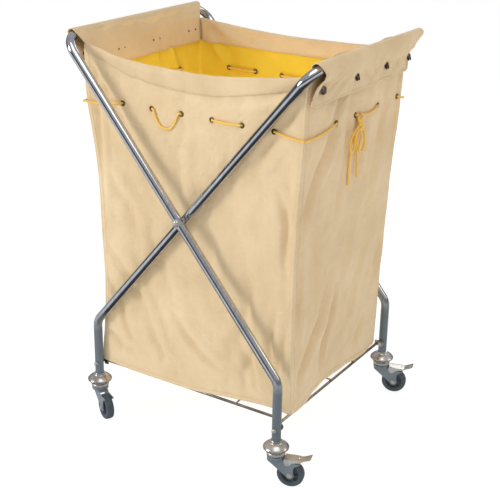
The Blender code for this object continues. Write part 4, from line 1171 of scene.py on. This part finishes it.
def bag():
    """The canvas walls, and the liner's walls inside them."""
    columns = wall_columns()
    grid, faces = without_eyelets(wall_points(columns, np.linspace(0, 1, CANVAS_ROWS)),
                                  grid_faces(len(columns), CANVAS_ROWS))
    wall = cloth_piece("bag_canvas", grid, faces, "canvas",
                       CANVAS_THICK, replaces=("bag_front", "bag_back", "bag_left", "bag_right"))

    edge = curve_through([(-0.30, LINER_TOP), (0.0, LINER_TOP - LINER_DIP), (0.30, LINER_TOP)])
    inner = wall_points(columns, np.linspace(0, 1, LINER_ROWS), -LINER_IN, LINER_RELIEF,
                        {face: edge for face in FACES}, LINER_FEET)
    inner, faces = without_eyelets(inner, grid_faces(len(columns), LINER_ROWS))
    lining = cloth_piece("liner_walls", inner, faces, "liner", LINER_THICK, replaces=("bag_liner",))


# ---------------------------------------------------------------- bag floor, hems and seams
CANVAS_FLOOR_Z = 0.1542
LINER_FLOOR_Z = 0.1572
FLOOR_STEPS = 60
FLOOR_THICK = 0.0011
FLOOR_FADE = 14.0          # how fast the floor settles away from its edges


def foot_ring(lift, feet, count):
    """Points round the walls' lower edge, as four sides of count steps each."""
    sides = []
    amount = LINER_RELIEF if lift else 1.0
    for face in FACES:
        columns = [(face, i / count, 0.0) for i in range(count + 1)]
        sides.append(wall_points(columns, np.array([0.0]), lift, amount, TOPS, feet)[:, 0])
    return sides


def floor_sheet(name, lift, feet, rest_z, look, replaces=()):
    """The bag's bottom: its edge meets the walls and its middle lies at rest_z on the rack."""
    count = FLOOR_STEPS
    front, right, back, left = foot_ring(lift, feet, count)
    shares = np.linspace(0, 1, count + 1)
    grid = np.zeros((count + 1, count + 1, 3))
    for i, s in enumerate(shares):
        for j, t in enumerate(shares):
            near, far = front[i], back[count - i]
            west, east = left[count - j], right[j]
            grid[i, j, :2] = ((1 - t) * near + t * far + (1 - s) * west + s * east
                              - (1 - s) * (1 - t) * front[0] - s * (1 - t) * front[-1]
                              - (1 - s) * t * back[-1] - s * t * back[0])[:2]
            edges = ((near[2], t), (far[2], 1 - t), (west[2], s), (east[2], 1 - s))
            weights = [math.exp(-d * FLOOR_FADE) for _, d in edges]
            lifted = sum(w * (z - rest_z) for (z, _), w in zip(edges, weights))
            grid[i, j, 2] = rest_z + lifted / max(1.0, sum(weights))
    grid[:, :, 2] += 0.0006 * CREASE["front"](grid[:, :, 0], grid[:, :, 1])
    faces = grid_faces(count + 1, count + 1, closed=False)
    obj = cloth_piece(name, grid.reshape(-1, 3), faces, look, FLOOR_THICK, body="rack",
                      squash=False, replaces=replaces)
    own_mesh(obj)


def strip_piece(name, sections, look, thickness, body="bag", squash=True):
    """A band lofted through sections, each a list of points across it."""
    across = len(sections[0])
    verts = [p for section in sections for p in section]
    faces = grid_faces(len(sections), across, closed=False)
    return cloth_piece(name, verts, faces, look, thickness, body, squash)


STITCH_PITCH = 0.0062
STITCH_LENGTH = 0.0040
STITCH_R = 0.00042
STITCH_TAPER = ((-0.5, 0.25), (-0.3, 1.0), (0.3, 1.0), (0.5, 0.25))


def stitch(spot, ahead, n):
    """One short, square thread end, tapered at both ends, on the side of the normal n."""
    side = ahead.cross(n).normalized()
    verts = []
    for share, size in STITCH_TAPER:
        middle = spot + ahead * share * STITCH_LENGTH + n * STITCH_R * (0.2 + 0.5 * size)
        for a in range(4):
            turn = math.pi / 4 + a * math.pi / 2
            verts.append(middle + STITCH_R * size * (math.cos(turn) * side + math.sin(turn) * n))
    faces = []
    for r in range(3):
        for a in range(4):
            b = (a + 1) % 4
            faces.append((4 * r + a, 4 * r + b, 4 * r + 4 + b, 4 * r + 4 + a))
    return verts, faces + [(3, 2, 1, 0), (12, 13, 14, 15)]


def stitches(name, lines, body="bag", squash=True):
    """Rows of stitches along lines of (point, normal)."""
    shapes = []
    for line in lines:
        walked = 0.0
        due = STITCH_PITCH
        for (p, n), (q, _) in zip(line, line[1:]):
            p, q, n = Vector(p), Vector(q), Vector(n)
            step = (q - p).length
            while walked + step >= due and step > 1e-9:
                shapes.append(stitch(p.lerp(q, (due - walked) / step), (q - p).normalized(), n))
                due += STITCH_PITCH
            walked += step
    verts, faces = merged(*shapes)
    return cloth_piece(name, verts, faces, "thread", body=body, squash=squash)


OUTWARD = {"front": (0, -1, 0), "right": (1, 0, 0), "back": (0, 1, 0), "left": (-1, 0, 0)}
HEM_DROP = {
    "front": curve_through([(-0.30, 0.018), (-0.21, 0.030), (-0.10, 0.041), (0.05, 0.045),
                            (0.16, 0.038), (0.26, 0.028), (0.30, 0.020)]),
    "back": curve_through([(-0.30, 0.022), (0.0, 0.040), (0.30, 0.022)]),
}
HEM_COLUMNS = 150
HEM_LIFT = 0.0014          # the outside band's distance from the canvas
HEM_SWELL = 0.0008         # and how much further its middle stands out
HEM_THICK = 0.0009
SEAM_THICK = 0.0008
FOOT_STITCH_UP = 0.011     # the foot's stitches above the edge
FACING_Z = 0.891           # the lower edge of the facings inside the bag
FACING_IN = 0.0062
STITCH_LIFT = 0.0007


def wall_line(face, height, count):
    """Points of the canvas across a face, at height(place along it)."""
    feet = {name: height for name in FACES}
    columns = [(face, i / count, 0.0) for i in range(count + 1)]
    return wall_points(columns, np.array([0.0]), feet=feet)[:, 0]


def hem(face):
    """The turned hem of the front or back: outside band, rolled edge and inner facing."""
    count = HEM_COLUMNS
    top, drop = TOPS[face], HEM_DROP[face]
    normal = np.array(OUTWARD[face], float)
    rows = []
    for k in range(8):
        share = k / 7
        line = wall_line(face, lambda x, s=share: top(x) - drop(x) * (1 - s), count)
        rows.append(line + normal * (HEM_LIFT + HEM_SWELL * math.sin(math.pi * share)))
    for dz, lift in ((0.0016, 0.0002), (0.0010, -0.0022), (-0.0010, -0.0046)):
        rows.append(wall_line(face, lambda x, d=dz: top(x) + d, count) + normal * lift)
    for k in range(1, 9):
        share = k / 8
        line = wall_line(face, lambda x, s=share: top(x) - (top(x) - FACING_Z) * s, count)
        rows.append(line + normal * (0.0012 * math.sin(math.pi * share) - FACING_IN))
    sections = [[Vector(row[i]) for row in rows] for i in range(count + 1)]
    out = Vector(OUTWARD[face])
    rise = Vector((0, 0, 0.004))
    stitch_out = [(section[0] + rise + out * STITCH_LIFT, out) for section in sections]
    stitch_in = [(section[-1] + rise - out * STITCH_LIFT, -out) for section in sections]
    # The hem takes the darker copy of the canvas: painted shade
    obj = strip_piece("hem_" + face, sections, "canvas_painted_shade", HEM_THICK)
    stitches("hem_stitches_" + face, [stitch_out, stitch_in])


def corner_seams():
    """A narrow felled seam down each upright edge, with a row of stitches beside it."""
    lines = []
    for index, face in enumerate(FACES):
        follower = FACES[(index + 1) % 4]
        columns = [(face, 1.0, bend) for bend in (0.26, 0.36, 0.46, 0.54, 0.64, 0.74)]
        rows = np.linspace(0.004, 0.985, 150)
        lifts = (0.0002, 0.0011, 0.0020, 0.0020, 0.0011, 0.0002)
        grid = np.concatenate([wall_points([c], rows, lift) for c, lift in zip(columns, lifts)])
        grid[:, :, 2] += (grid[2:3, :, 2] - grid[:, :, 2]) * 0.9
        sections = [[Vector(p) for p in grid[:, r]] for r in range(len(rows))]
        strip_piece(f"seam_{face}_{follower}", sections, "canvas", SEAM_THICK)
        beside = wall_points([(follower, 0.006, 0.0)], rows, STITCH_LIFT)[0]
        lines.append([(Vector(p), OUTWARD[follower]) for p in beside])
    stitches("seam_stitches", lines)


def foot_stitches():
    """The row of stitches just above the bag's lower edge."""
    lines = []
    for face in FACES:
        foot = FEET[face]
        line = wall_line(face, lambda x, foot=foot: foot(x) + FOOT_STITCH_UP, 120)
        out = Vector(OUTWARD[face])
        lines.append([(Vector(p) + out * STITCH_LIFT, out) for p in line])
    stitches("foot_stitches", lines)


# ---------------------------------------------------------------- flaps over the handle bars
FLAP_LOW_Z = 0.8925
SNAP_X = 0.3112
SNAP_Z = 0.9255
RIVET_Z = 0.925
RIVET_IN = 0.0011
SNAPS = {"right": (-0.191, -0.038, 0.106, 0.224), "left": (-0.212, -0.072, 0.072, 0.212)}
RIVET_PAIRS = {"right": ((-0.050, -0.026), (0.094, 0.118), (0.176, 0.200)),
               "left": ((-0.113, -0.090), (0.025, 0.050), (0.175, 0.204))}


FLAP_COLUMNS = 130
FLAP_THICK = 0.0018
FLAP_IN = 0.0068           # its inner layer hangs this far inside the canvas
FLAP_LOW_END = 0.2330      # half its length at its outer lower edge
FLAP_INNER_END = 0.2245    # and at its inner lower edge
FLAP_CORNER_R = 0.012
FLAP_TOP_Z = 0.962         # above this it lies tight on the bar
BAR_END_OUT = 0.0035       # past the bar's straight, where its top ends but for its beak
BAR_WRAP_R = 0.0139
# The outside of a flap, from the bar down: (distance from the middle plane, height)
FLAP_OUTSIDE = [(0.3346, 0.972), (0.3334, 0.963), (0.3285, 0.953), (0.3215, 0.945),
                (0.3152, 0.9375), (0.3116, 0.930), (0.3099, 0.922), (0.3090, 0.913),
                (0.3085, 0.905), (0.3085, 0.899), (0.3087, 0.8955), (0.3090, FLAP_LOW_Z)]
# Slanting folds on the outside: place along the bar, slope, half width, depth
FLAP_FOLDS = ((-0.165, 1.4, 0.012, 0.0044), (-0.128, 1.7, 0.010, 0.0036),
              (-0.082, 1.2, 0.010, 0.0030), (-0.010, -1.3, 0.012, 0.0034),
              (0.032, -0.8, 0.011, 0.0028), (0.074, 1.2, 0.010, 0.0030),
              (0.150, -1.1, 0.011, 0.0032), (0.190, 1.3, 0.009, 0.0028))
# How far the top of each flap stands out beyond that, front and back
FLAP_BEAK = {"right": (0.028, 0.052), "left": (0.016, 0.018)}
FLAP_SEEDS = {"right": (91, 92), "left": (95, 96)}


def flap_path():
    """Across the flap from its inner lower edge over the bar to its outer lower edge: points
    (distance from the middle plane, height, share down the outside)."""
    inner_x = EDGE_X["front_right"]
    steps = [(float(inner_x(z)) - FLAP_IN, float(z), 0.0)
             for z in np.linspace(FACING_Z + 0.001, 0.958, 9)]
    steps.append((0.3015, 0.967, 0.0))
    steps += [(x, z, 0.0) for x, z in arc((BAR_X, BAR_Z), BAR_WRAP_R, 165, 8, 16)]
    return steps + [(x, z, (i + 1) / len(FLAP_OUTSIDE)) for i, (x, z) in enumerate(FLAP_OUTSIDE)]


def flap_end(side, share, x, z, out):
    """Half the flap's length at a height; its outer lower corners are round."""
    frame_y = FRAME_B_Y if side == "right" else FRAME_A_Y
    beak = FLAP_BEAK[side][0 if share < 0 else 1]
    top_end = frame_y - BAR_BEND_R + BAR_END_OUT + beak * float(smoothstep(0.955, 0.988, z))
    if out == 0 and x <= BAR_X:
        return FLAP_INNER_END + (top_end - FLAP_INNER_END) * float(smoothstep(0.925, 0.976, z))
    end = FLAP_LOW_END + (top_end - FLAP_LOW_END) * float(smoothstep(0.915, 0.975, z))
    corner = max(0.0, (FLAP_LOW_Z + FLAP_CORNER_R - z) / FLAP_CORNER_R)
    return end - FLAP_CORNER_R * (1 - math.sqrt(max(0.0, 1 - corner * corner)))


def flap_push(side, x, y, z, out, drape, fine):
    """How far the flap stands out: tight on the bar, loose outside between its snaps."""
    ripple = 0.0006 * float(fine(y, z))
    if z > FLAP_TOP_Z:
        return ripple * 0.4
    if not out:
        return 0.0 if x > 0.300 else -0.0010 * float(drape(y, z))
    loose = math.sin(math.pi * out)
    near = min(abs(y - snap) for snap in SNAPS[side])
    bulge = 0.0046 * (1 - math.exp(-(near / 0.030) ** 2)) * loose
    hang = 0.0016 * float(drape(y, z * 0.7)) * out * (1 - 0.5 * float(smoothstep(0.7, 1.0, out)))
    fold = 0.0
    for y0, slope, width, depth in FLAP_FOLDS:
        away = (y - y0 - slope * (z - 0.945)) / width
        fold -= depth * (math.exp(-away ** 2) - 0.7 * math.exp(-(away - 1.6) ** 2))
    return bulge + hang + ripple + fold * loose


def flap(side):
    """The canvas flap round a handle bar, drawn in where its snaps hold it."""
    sign = 1 if side == "right" else -1
    steps = flap_path()
    drape, fine = (Waves(seed, length) for seed, length in zip(FLAP_SEEDS[side], (0.085, 0.026)))
    sections = []
    for i in range(FLAP_COLUMNS + 1):
        share = 2 * i / FLAP_COLUMNS - 1
        section = []
        for x, z, out in steps:
            y = share * flap_end(side, share, x, z, out)
            push = flap_push(side, x, y, z, out, drape, fine)
            section.append(Vector((sign * (x + push), y, z)))
        sections.append(section)
    out_of_cloth = Vector((sign * 0.0012, 0, 0))
    normal = (sign, 0, 0)
    low_line = [(section[-2] + out_of_cloth + Vector((0, 0, 0.001)), normal)
                for section in sections]
    end_lines = [[(point + out_of_cloth, normal)
                  for point in sections[row][-len(FLAP_OUTSIDE):-1]]
                 for row in (2, FLAP_COLUMNS - 2)]
    frame_name = "frame_b" if side == "right" else "frame_a"
    # The flap takes the darker copy of the canvas: painted shade
    obj = strip_piece("flap_" + side, sections, "canvas_painted_shade", FLAP_THICK,
                      frame_name, squash=False)
    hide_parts("sleeve_" + side)
    stitches("flap_stitches_" + side, [low_line, *end_lines], frame_name, squash=False)


def round_snap():
    """A domed snap cap with a rolled rim and three studs, facing +X, back plane at 0."""
    cap = [(0.0, 0.0058), (0.0024, 0.0058), (0.0036, 0.0074), (0.0062, 0.0078), (0.0086, 0.0066),
           (0.0099, 0.0044), (0.0103, 0.0014), (0.0097, 0.0), (0.0, 0.0)]
    shapes = [lathe(smooth_profile(cap, 1), 40, "X")]
    for i in range(3):
        a = 2 * math.pi * i / 3 + 0.5
        stud = [(0.0, 0.0094), (0.0010, 0.0092), (0.0017, 0.0082), (0.0017, 0.0064), (0.0, 0.0064)]
        shapes.append(lathe(stud, 16, "X", (0, 0.0052 * math.cos(a), 0.0052 * math.sin(a))))
    return merged(*shapes)


def turn_snap():
    """A turn fastener: an oval plate, a post and a bar turned upright, facing +X."""
    rim = [(0.0062 * math.cos(t), 0.0092 * math.sin(t)) for t in np.linspace(0, 2 * np.pi, 33)[:-1]]
    shapes = [plate(rim, "X", 0.0, 0.0014)]
    post = [(0.0, 0.0054), (0.0022, 0.0054), (0.0024, 0.0048), (0.0024, 0.0), (0.0, 0.0)]
    shapes.append(lathe(post, 24, "X"))
    bar = [(y, z - 0.0005) for y, z in arc((0, 0.0046), 0.0032, 0, 180, 10)
           + arc((0, -0.0046), 0.0032, 180, 360, 10)]
    shapes.append(plate(bar, "X", 0.0046, 0.0068))
    for z in (-0.0070, 0.0070):
        shapes.append(lathe([(0.0, 0.0024), (0.0012, 0.0022), (0.0015, 0.0012), (0.0, 0.0012)], 14,
                            "X", (0, 0, z)))
    return merged(*shapes)


def fasteners():
    """Snaps outside each flap, and the backs of rivets inside it."""
    for side, sign, body in (("right", 1, "frame_b"), ("left", -1, "frame_a")):
        out = Matrix.Rotation(0 if sign > 0 else math.pi, 4, "Z")
        for i, y in enumerate(SNAPS[side]):
            spot = Matrix.Translation((sign * SNAP_X, y, SNAP_Z))
            lean = Matrix.Rotation(-0.25 * sign, 4, "Y")
            shape = round_snap() if i == 0 else turn_snap()
            post = plate(arc((0, 0), 0.0030, 0, 330, 11), "X", -0.0130, 0.0004)
            name = f"snap_{side}_{i + 1}"
            piece(name, moved(shape, spot @ lean @ out), "snap", body, bevel=0.0003)
            piece(name + "_post", moved(post, spot @ out), "snap", body)
        rivets = []
        back = [(0.0, 0.0016), (0.0016, 0.0014), (0.0026, 0.0003), (0.0026, -0.0006),
                (0.0, -0.0006)]
        inwards = Matrix.Rotation(math.pi if sign > 0 else 0, 4, "Z")
        x = float(EDGE_X["front_right"](RIVET_Z)) - FLAP_IN - RIVET_IN
        for pair in RIVET_PAIRS[side]:
            for y in pair:
                shape = moved(lathe(back, 18, "X"), inwards)
                rivets.append(moved(shape, Matrix.Translation((sign * x, y, RIVET_Z))))
        piece("rivets_" + side, merged(*rivets), "snap", body)


# ---------------------------------------------------------------- drawstring
CORD_R = 0.0025
CORD_SIDES = 14
CORD_OFFSET = 0.006
KNOT_Y = 0.003
KNOT_HALF = 0.004
KNOT_LIFT = 0.001
CORNER_SAG = 0.011
LOOP_SAG = 0.040
STRAIGHT_SAG = 0.0015
KNOT_SAG = 0.009


def through_eyelet(face, along, travel, outwards):
    """The cord's S through one eyelet; travel is the sign of its direction along the face."""
    start = -1.0 if outwards else 1.0
    half = CORD_OFFSET * math.sin(math.radians(45))
    near = CORD_OFFSET - half
    steps = ((-CORD_OFFSET, start * CORD_OFFSET), (-near, start * half), (0.0, 0.0),
             (near, -start * half), (CORD_OFFSET, -start * CORD_OFFSET))
    return [face_point(face, along + travel * shift, lift, EYELET_Z) for shift, lift in steps]


def sagging(first, last, sag, count, fullness=2.0):
    """Points between two ends, hanging by sag in the middle; more fullness makes more of a U."""
    points = []
    for i in range(1, count):
        share = i / count
        point = first.lerp(last, share)
        point.z -= sag * (1 - abs(2 * share - 1) ** fullness)
        points.append(point)
    return points


def round_corner(first, last, corner, sag):
    """Points outside the bag round one of its upright edges, hanging a little."""
    radius = CORD_OFFSET - STAND_IN_CLOTH / 2
    back, on = (first - corner).normalized(), (last - corner).normalized()
    near, beyond = corner + back * radius, corner + on * radius
    middle = corner + (back + on) * radius * (1 - math.sqrt(0.5))
    points = [first.lerp(near, 1 / 3), first.lerp(near, 2 / 3), near, middle, beyond,
              beyond.lerp(last, 1 / 3), beyond.lerp(last, 2 / 3)]
    reach = (near - first).length
    total = reach + (last - beyond).length
    walked = (reach / 3, reach * 2 / 3, reach, reach, reach,
              reach + (total - reach) / 3, reach + (total - reach) * 2 / 3)
    for point, distance in zip(points, walked):
        share = distance / total
        point.z -= 4 * sag * share * (1 - share)
    return points


def face_run(face, eyelets, travel, loop_before):
    """The string through a face's eyelets, in first; loop_before is the one it loops down to."""
    run = []
    for i, along in enumerate(eyelets):
        step = through_eyelet(face, along, travel, i % 2 == 1)
        if i == loop_before:
            run += sagging(run[-1], step[0], LOOP_SAG, 10, 2.6)
        elif i and i % 2 == 0:
            run += sagging(run[-1], step[0], STRAIGHT_SAG, 4)
        run += step
    return run


def drawstring_route():
    """From the knot on the right side, round the back, the left side and the front to it."""
    z = EYELET_Z
    edge_x = side_face_x(z) - STAND_IN_CLOTH / 2 + CORD_OFFSET
    edge_y = BAG_Y - STAND_IN_CLOTH / 2 + CORD_OFFSET
    lift = CORD_OFFSET + KNOT_LIFT
    route = [face_point("right", KNOT_Y + KNOT_HALF, lift, z)]
    step = through_eyelet("right", RIGHT_EYELETS[2], 1, False)
    route += sagging(route[0], step[0], KNOT_SAG, 7) + step
    route += through_eyelet("right", RIGHT_EYELETS[3], 1, True)
    back = face_run("back", BACK_EYELETS, -1, 4)
    route += round_corner(route[-1], back[0], Vector((edge_x, edge_y, z)), CORNER_SAG) + back
    left = through_eyelet("left", LEFT_EYELETS[0], -1, False)
    route += round_corner(route[-1], left[0], Vector((-edge_x, edge_y, z)), CORNER_SAG) + left
    route += through_eyelet("left", LEFT_EYELETS[1], -1, True)
    front = face_run("front", FRONT_EYELETS, 1, 2)
    route += round_corner(route[-1], front[0], Vector((-edge_x, -edge_y, z)), CORNER_SAG) + front
    right = through_eyelet("right", RIGHT_EYELETS[0], 1, False)
    route += round_corner(route[-1], right[0], Vector((edge_x, -edge_y, z)), CORNER_SAG) + right
    route += through_eyelet("right", RIGHT_EYELETS[1], 1, True)[:-1]
    route.append(face_point("right", KNOT_Y - KNOT_HALF, lift, z))
    return route


# The bow's cords hang free from the knot: (distance from the cloth, y, height)
BOW_ROUTES = {
    "bow_loop_front": (
        (0.0095, -0.0080, 0.8060), (0.0096, -0.0165, 0.8010), (0.0098, -0.0280, 0.7945),
        (0.0098, -0.0370, 0.7850), (0.0096, -0.0400, 0.7740), (0.0094, -0.0395, 0.7630),
        (0.0092, -0.0350, 0.7545), (0.0092, -0.0270, 0.7510), (0.0092, -0.0200, 0.7560),
        (0.0094, -0.0180, 0.7650), (0.0096, -0.0185, 0.7760), (0.0097, -0.0165, 0.7870),
        (0.0096, -0.0100, 0.7950), (0.0095, -0.0030, 0.7995)),
    "bow_loop_back": (
        (0.0095, 0.0085, 0.8050), (0.0096, 0.0165, 0.7970), (0.0098, 0.0250, 0.7840),
        (0.0098, 0.0300, 0.7690), (0.0096, 0.0305, 0.7560), (0.0093, 0.0260, 0.7455),
        (0.0092, 0.0165, 0.7410), (0.0092, 0.0080, 0.7450), (0.0093, 0.0055, 0.7540),
        (0.0095, 0.0085, 0.7640), (0.0097, 0.0120, 0.7740), (0.0097, 0.0105, 0.7850),
        (0.0096, 0.0065, 0.7930), (0.0095, 0.0030, 0.7990)),
    "bow_tail_front": (
        (0.0038, -0.0045, 0.8030), (0.0037, -0.0110, 0.7880), (0.0036, -0.0190, 0.7720),
        (0.0036, -0.0240, 0.7560), (0.0036, -0.0258, 0.7400), (0.0036, -0.0262, 0.7220),
        (0.0036, -0.0262, 0.7040), (0.0036, -0.0252, 0.6870), (0.0036, -0.0235, 0.6700)),
    "bow_tail_back": (
        (0.0038, 0.0020, 0.8020), (0.0037, 0.0005, 0.7850), (0.0036, 0.0020, 0.7665),
        (0.0036, 0.0062, 0.7480), (0.0036, 0.0102, 0.7310), (0.0036, 0.0120, 0.7140),
        (0.0036, 0.0140, 0.6960), (0.0036, 0.0175, 0.6780)),
}


def smooth_points(route, per_span=3):
    """Catmull-Rom points through a route."""
    padded = [route[0] * 2 - route[1]] + list(route) + [route[-1] * 2 - route[-2]]
    points = []
    for a, b, c, d in zip(padded, padded[1:], padded[2:], padded[3:]):
        for i in range(per_span):
            t = i / per_span
            points.append(0.5 * (2 * b + (c - a) * t + (2 * a - 5 * b + 4 * c - d) * t * t
                                 + (3 * b - a - 3 * c + d) * t * t * t))
    points.append(route[-1])
    return points


def cord_piece(name, points, replaces=(), closed=False, radius=CORD_R):
    """A length of braided cord along points, riding on the bag."""
    verts, faces, uvs = sweep(points, radius, CORD_SIDES, closed=closed)
    return cloth_piece(name, verts, faces, "cord", replaces=replaces, uvs=uvs)


def drawstring():
    """The laced string, the bow's loops and tails, and the knot."""
    cord_piece("drawstring_cord", smooth_points(drawstring_route(), 2), ("drawstring",))
    for name, steps in BOW_ROUTES.items():
        route = [face_point("right", y, STAND_IN_CLOTH / 2 + lift, z) for lift, y, z in steps]
        points = smooth_points(route, 4)
        obj = cord_piece(name + "_cord", points, (name,))
    middle = face_point("right", KNOT_Y, STAND_IN_CLOTH / 2 + 0.0080, 0.8140)
    knot = []
    for i in range(96):
        t = 2 * math.pi * i / 96
        knot.append(middle + Vector((-math.sin(3 * t) * 0.0034,
                                     (math.sin(t) + 2 * math.sin(2 * t)) * 0.0030,
                                     (math.cos(t) - 2 * math.cos(2 * t)) * 0.0054)))
    cord_piece("bow_knot", knot, closed=True, radius=0.0031)


EYELET_BORE_R = 0.0038
EYELET_BARREL_R = 0.0043
WASHER_OUT = 0.0007        # from the canvas's mid-surface
WASHER_IN = 0.0005         # from the liner's
# The section of an eyelet's washer: (radius, distance outwards)
WASHER = ((EYELET_BORE_R, -0.0004), (EYELET_BORE_R, 0.0010), (0.0045, 0.0017), (0.0055, 0.0015),
          (0.0066, 0.0004), (0.0066, -0.0004))


def eyelets():
    """Rolled metal eyelets: a washer outside the canvas, one inside the liner and a barrel."""
    shapes = []
    for face, along in EYELETS:
        axis = "Y" if face in ("front", "back") else "X"
        sign = sum(OUTWARD[face])
        spot = face_point(face, along, 0.0, EYELET_Z)
        spot["XYZ".index(axis)] = 0.0
        outside = wall_surface(face, along)
        inside = outside - LINER_IN
        for level, out in ((outside + WASHER_OUT, 1), (inside - WASHER_IN, -1)):
            ring = [(radius, sign * (level + out * h)) for radius, h in WASHER]
            shapes.append(lathe(ring, 28, axis, spot))
        ends = (sign * (outside + 0.0010), sign * (inside - 0.001))
        barrel = [(EYELET_BORE_R, ends[0]), (EYELET_BORE_R, ends[1]),
                  (EYELET_BARREL_R, ends[1]), (EYELET_BARREL_R, ends[0])]
        shapes.append(lathe(barrel, 28, axis, spot))
    verts, faces = merged(*shapes)
    cloth_piece("eyelet_rings", verts, faces, "brass")


def wall_surface(face, along):
    """Distance of the canvas from the middle plane at an eyelet."""
    direction = 1 if face in ("front", "right") else -1
    share = 0.5 + 0.5 * along / HALF_LENGTHS[face] * direction
    foot = {name: (lambda x: EYELET_Z + 0 * x) for name in FACES}
    point = wall_points([(face, min(max(share, 0.0), 1.0), 0.0)], np.array([0.0]), feet=foot)[0, 0]
    return abs(point[1] if face in ("front", "back") else point[0])


# ---------------------------------------------------------------- stage
FLOOR_HALF = 400
# The world's colour by height on the unit sphere, its two ends first. Only bright metal sees
# below the horizon: pale paper near by, dark straight down
WORLD_BANDS = ((-1.0, (0.05, 0.055, 0.07, 1)), (1.0, (0.48, 0.49, 0.53, 1)),
               (-0.66, (0.06, 0.065, 0.08, 1)), (-0.46, (0.80, 0.80, 0.80, 1)),
               (-0.16, (0.85, 0.85, 0.85, 1)), (-0.06, (0.10, 0.10, 0.11, 1)),
               (0.16, (0.07, 0.07, 0.08, 1)), (0.36, (0.46, 0.46, 0.47, 1)))
# Area lights: (name, place, height aimed at, size, energy, colour)
LIGHTS = (("key", (-2.4, -2.9, 2.0), 0.5, (1.0, 1.2), 64, (1.0, 0.97, 0.93)),
          ("warm_side", (3.0, 1.5, 1.8), 0.5, (1.2, 1.4), 12.5, (1.0, 0.83, 0.60)),
          ("top", (0.7, -0.8, 2.8), 0.5, (1.6, 1.6), 17, (1.0, 0.98, 0.95)),
          ("back", (-0.6, 3.2, 2.2), 0.5, (1.4, 1.4), 20, (1.0, 0.96, 0.90)),
          ("through_cloth", (0.0, -0.03, 0.50), 1.5, (0.08, 0.24), 1.05, (1.0, 0.98, 0.94)))


def pale_floor():
    """A matt white floor, wide enough to reach the horizon in low views."""
    mat = bpy.data.materials.new("floor_paint")
    mat.use_nodes = True
    shader = mat.node_tree.nodes["Principled BSDF"]
    shader.inputs["Base Color"].default_value = (0.34, 0.34, 0.34, 1)
    shader.inputs["Roughness"].default_value = 0.9
    shader.inputs["Specular IOR Level"].default_value = 0.0
    shader.inputs["Emission Color"].default_value = (1, 1, 1, 1)
    shader.inputs["Emission Strength"].default_value = 0.84
    corners = [(x * FLOOR_HALF, y * FLOOR_HALF, 0) for x, y in ((-1, -1), (1, -1), (1, 1), (-1, 1))]
    floor = mesh_object("floor", corners, [(0, 1, 2, 3)], mat)
    floor.visible_glossy = False


def studio_world():
    """A grey room in bands: soft fill light, and what the bright metal mirrors."""
    world = bpy.data.worlds.new("studio")
    bpy.context.scene.world = world
    world.use_nodes = True
    tree = world.node_tree
    background = tree.nodes["Background"]
    place = tree.nodes.new("ShaderNodeTexCoord")
    split = tree.nodes.new("ShaderNodeSeparateXYZ")
    share = tree.nodes.new("ShaderNodeMath")
    share.operation = "MULTIPLY_ADD"
    share.inputs[1].default_value = 0.5
    share.inputs[2].default_value = 0.5
    ramp = tree.nodes.new("ShaderNodeValToRGB")
    tree.links.new(place.outputs["Generated"], split.inputs[0])
    tree.links.new(split.outputs["Z"], share.inputs[0])
    tree.links.new(share.outputs[0], ramp.inputs[0])
    tree.links.new(ramp.outputs["Color"], background.inputs["Color"])
    stops = ramp.color_ramp.elements
    stops[0].color = WORLD_BANDS[0][1]
    stops[1].color = WORLD_BANDS[1][1]
    for height, colour in WORLD_BANDS[2:]:
        stops.new(0.5 + 0.5 * height).color = colour
    background.inputs["Strength"].default_value = 1.0


def lights():
    """Area lights round the trolley, and a soft one inside for daylight through cloth."""
    for name, spot, aim_z, size, energy, colour in LIGHTS:
        data = bpy.data.lights.new(name, "AREA")
        data.shape = "RECTANGLE"
        data.color = colour
        data.size, data.size_y = size
        data.energy = energy
        lamp = bpy.data.objects.new(name, data)
        lamp.location = spot
        aim = Vector((0, 0, aim_z)) - Vector(spot)
        lamp.rotation_euler = aim.to_track_quat("-Z", "Y").to_euler()
        lamp.visible_camera = False
        bpy.context.scene.collection.objects.link(lamp)


CAMERA_PLACE = (1.393, -2.164, 1.4635)
CAMERA_ANGLES = (32.4, 21.8, 1.0)      # azimuth, elevation and roll, in degrees


def camera():
    """The view, from in front of the trolley and to its right."""
    azimuth, elevation, roll = (math.radians(angle) for angle in CAMERA_ANGLES)
    back = Vector((math.sin(azimuth) * math.cos(elevation),
                   -math.cos(azimuth) * math.cos(elevation), math.sin(elevation)))
    right = Vector((math.cos(azimuth), math.sin(azimuth), 0))
    up = back.cross(right)
    x_axis = right * math.cos(roll) + up * math.sin(roll)
    y_axis = -right * math.sin(roll) + up * math.cos(roll)
    data = bpy.data.cameras.new("camera")
    data.lens = 79.2
    data.sensor_width = 36.0
    obj = bpy.data.objects.new("camera", data)
    turn = Matrix((x_axis, y_axis, back)).transposed().to_4x4()
    obj.matrix_world = Matrix.Translation(CAMERA_PLACE) @ turn
    bpy.context.scene.collection.objects.link(obj)
    bpy.context.scene.camera = obj
    bpy.context.scene.view_settings.view_transform = "Standard"


camera()
pale_floor()
studio_world()
lights()
frames()
pivots()
leg_bolts()
rack_edges_and_wires()
rack_sides()
casters()
bag()
floor_sheet("bag_floor", 0.0, FEET, CANVAS_FLOOR_Z, "canvas", ("bag_bottom",))
floor_sheet("liner_floor", -LINER_IN, LINER_FEET, LINER_FLOOR_Z, "liner")
hem("front")
hem("back")
corner_seams()
foot_stitches()
flap("right")
flap("left")
fasteners()
drawstring()
eyelets()
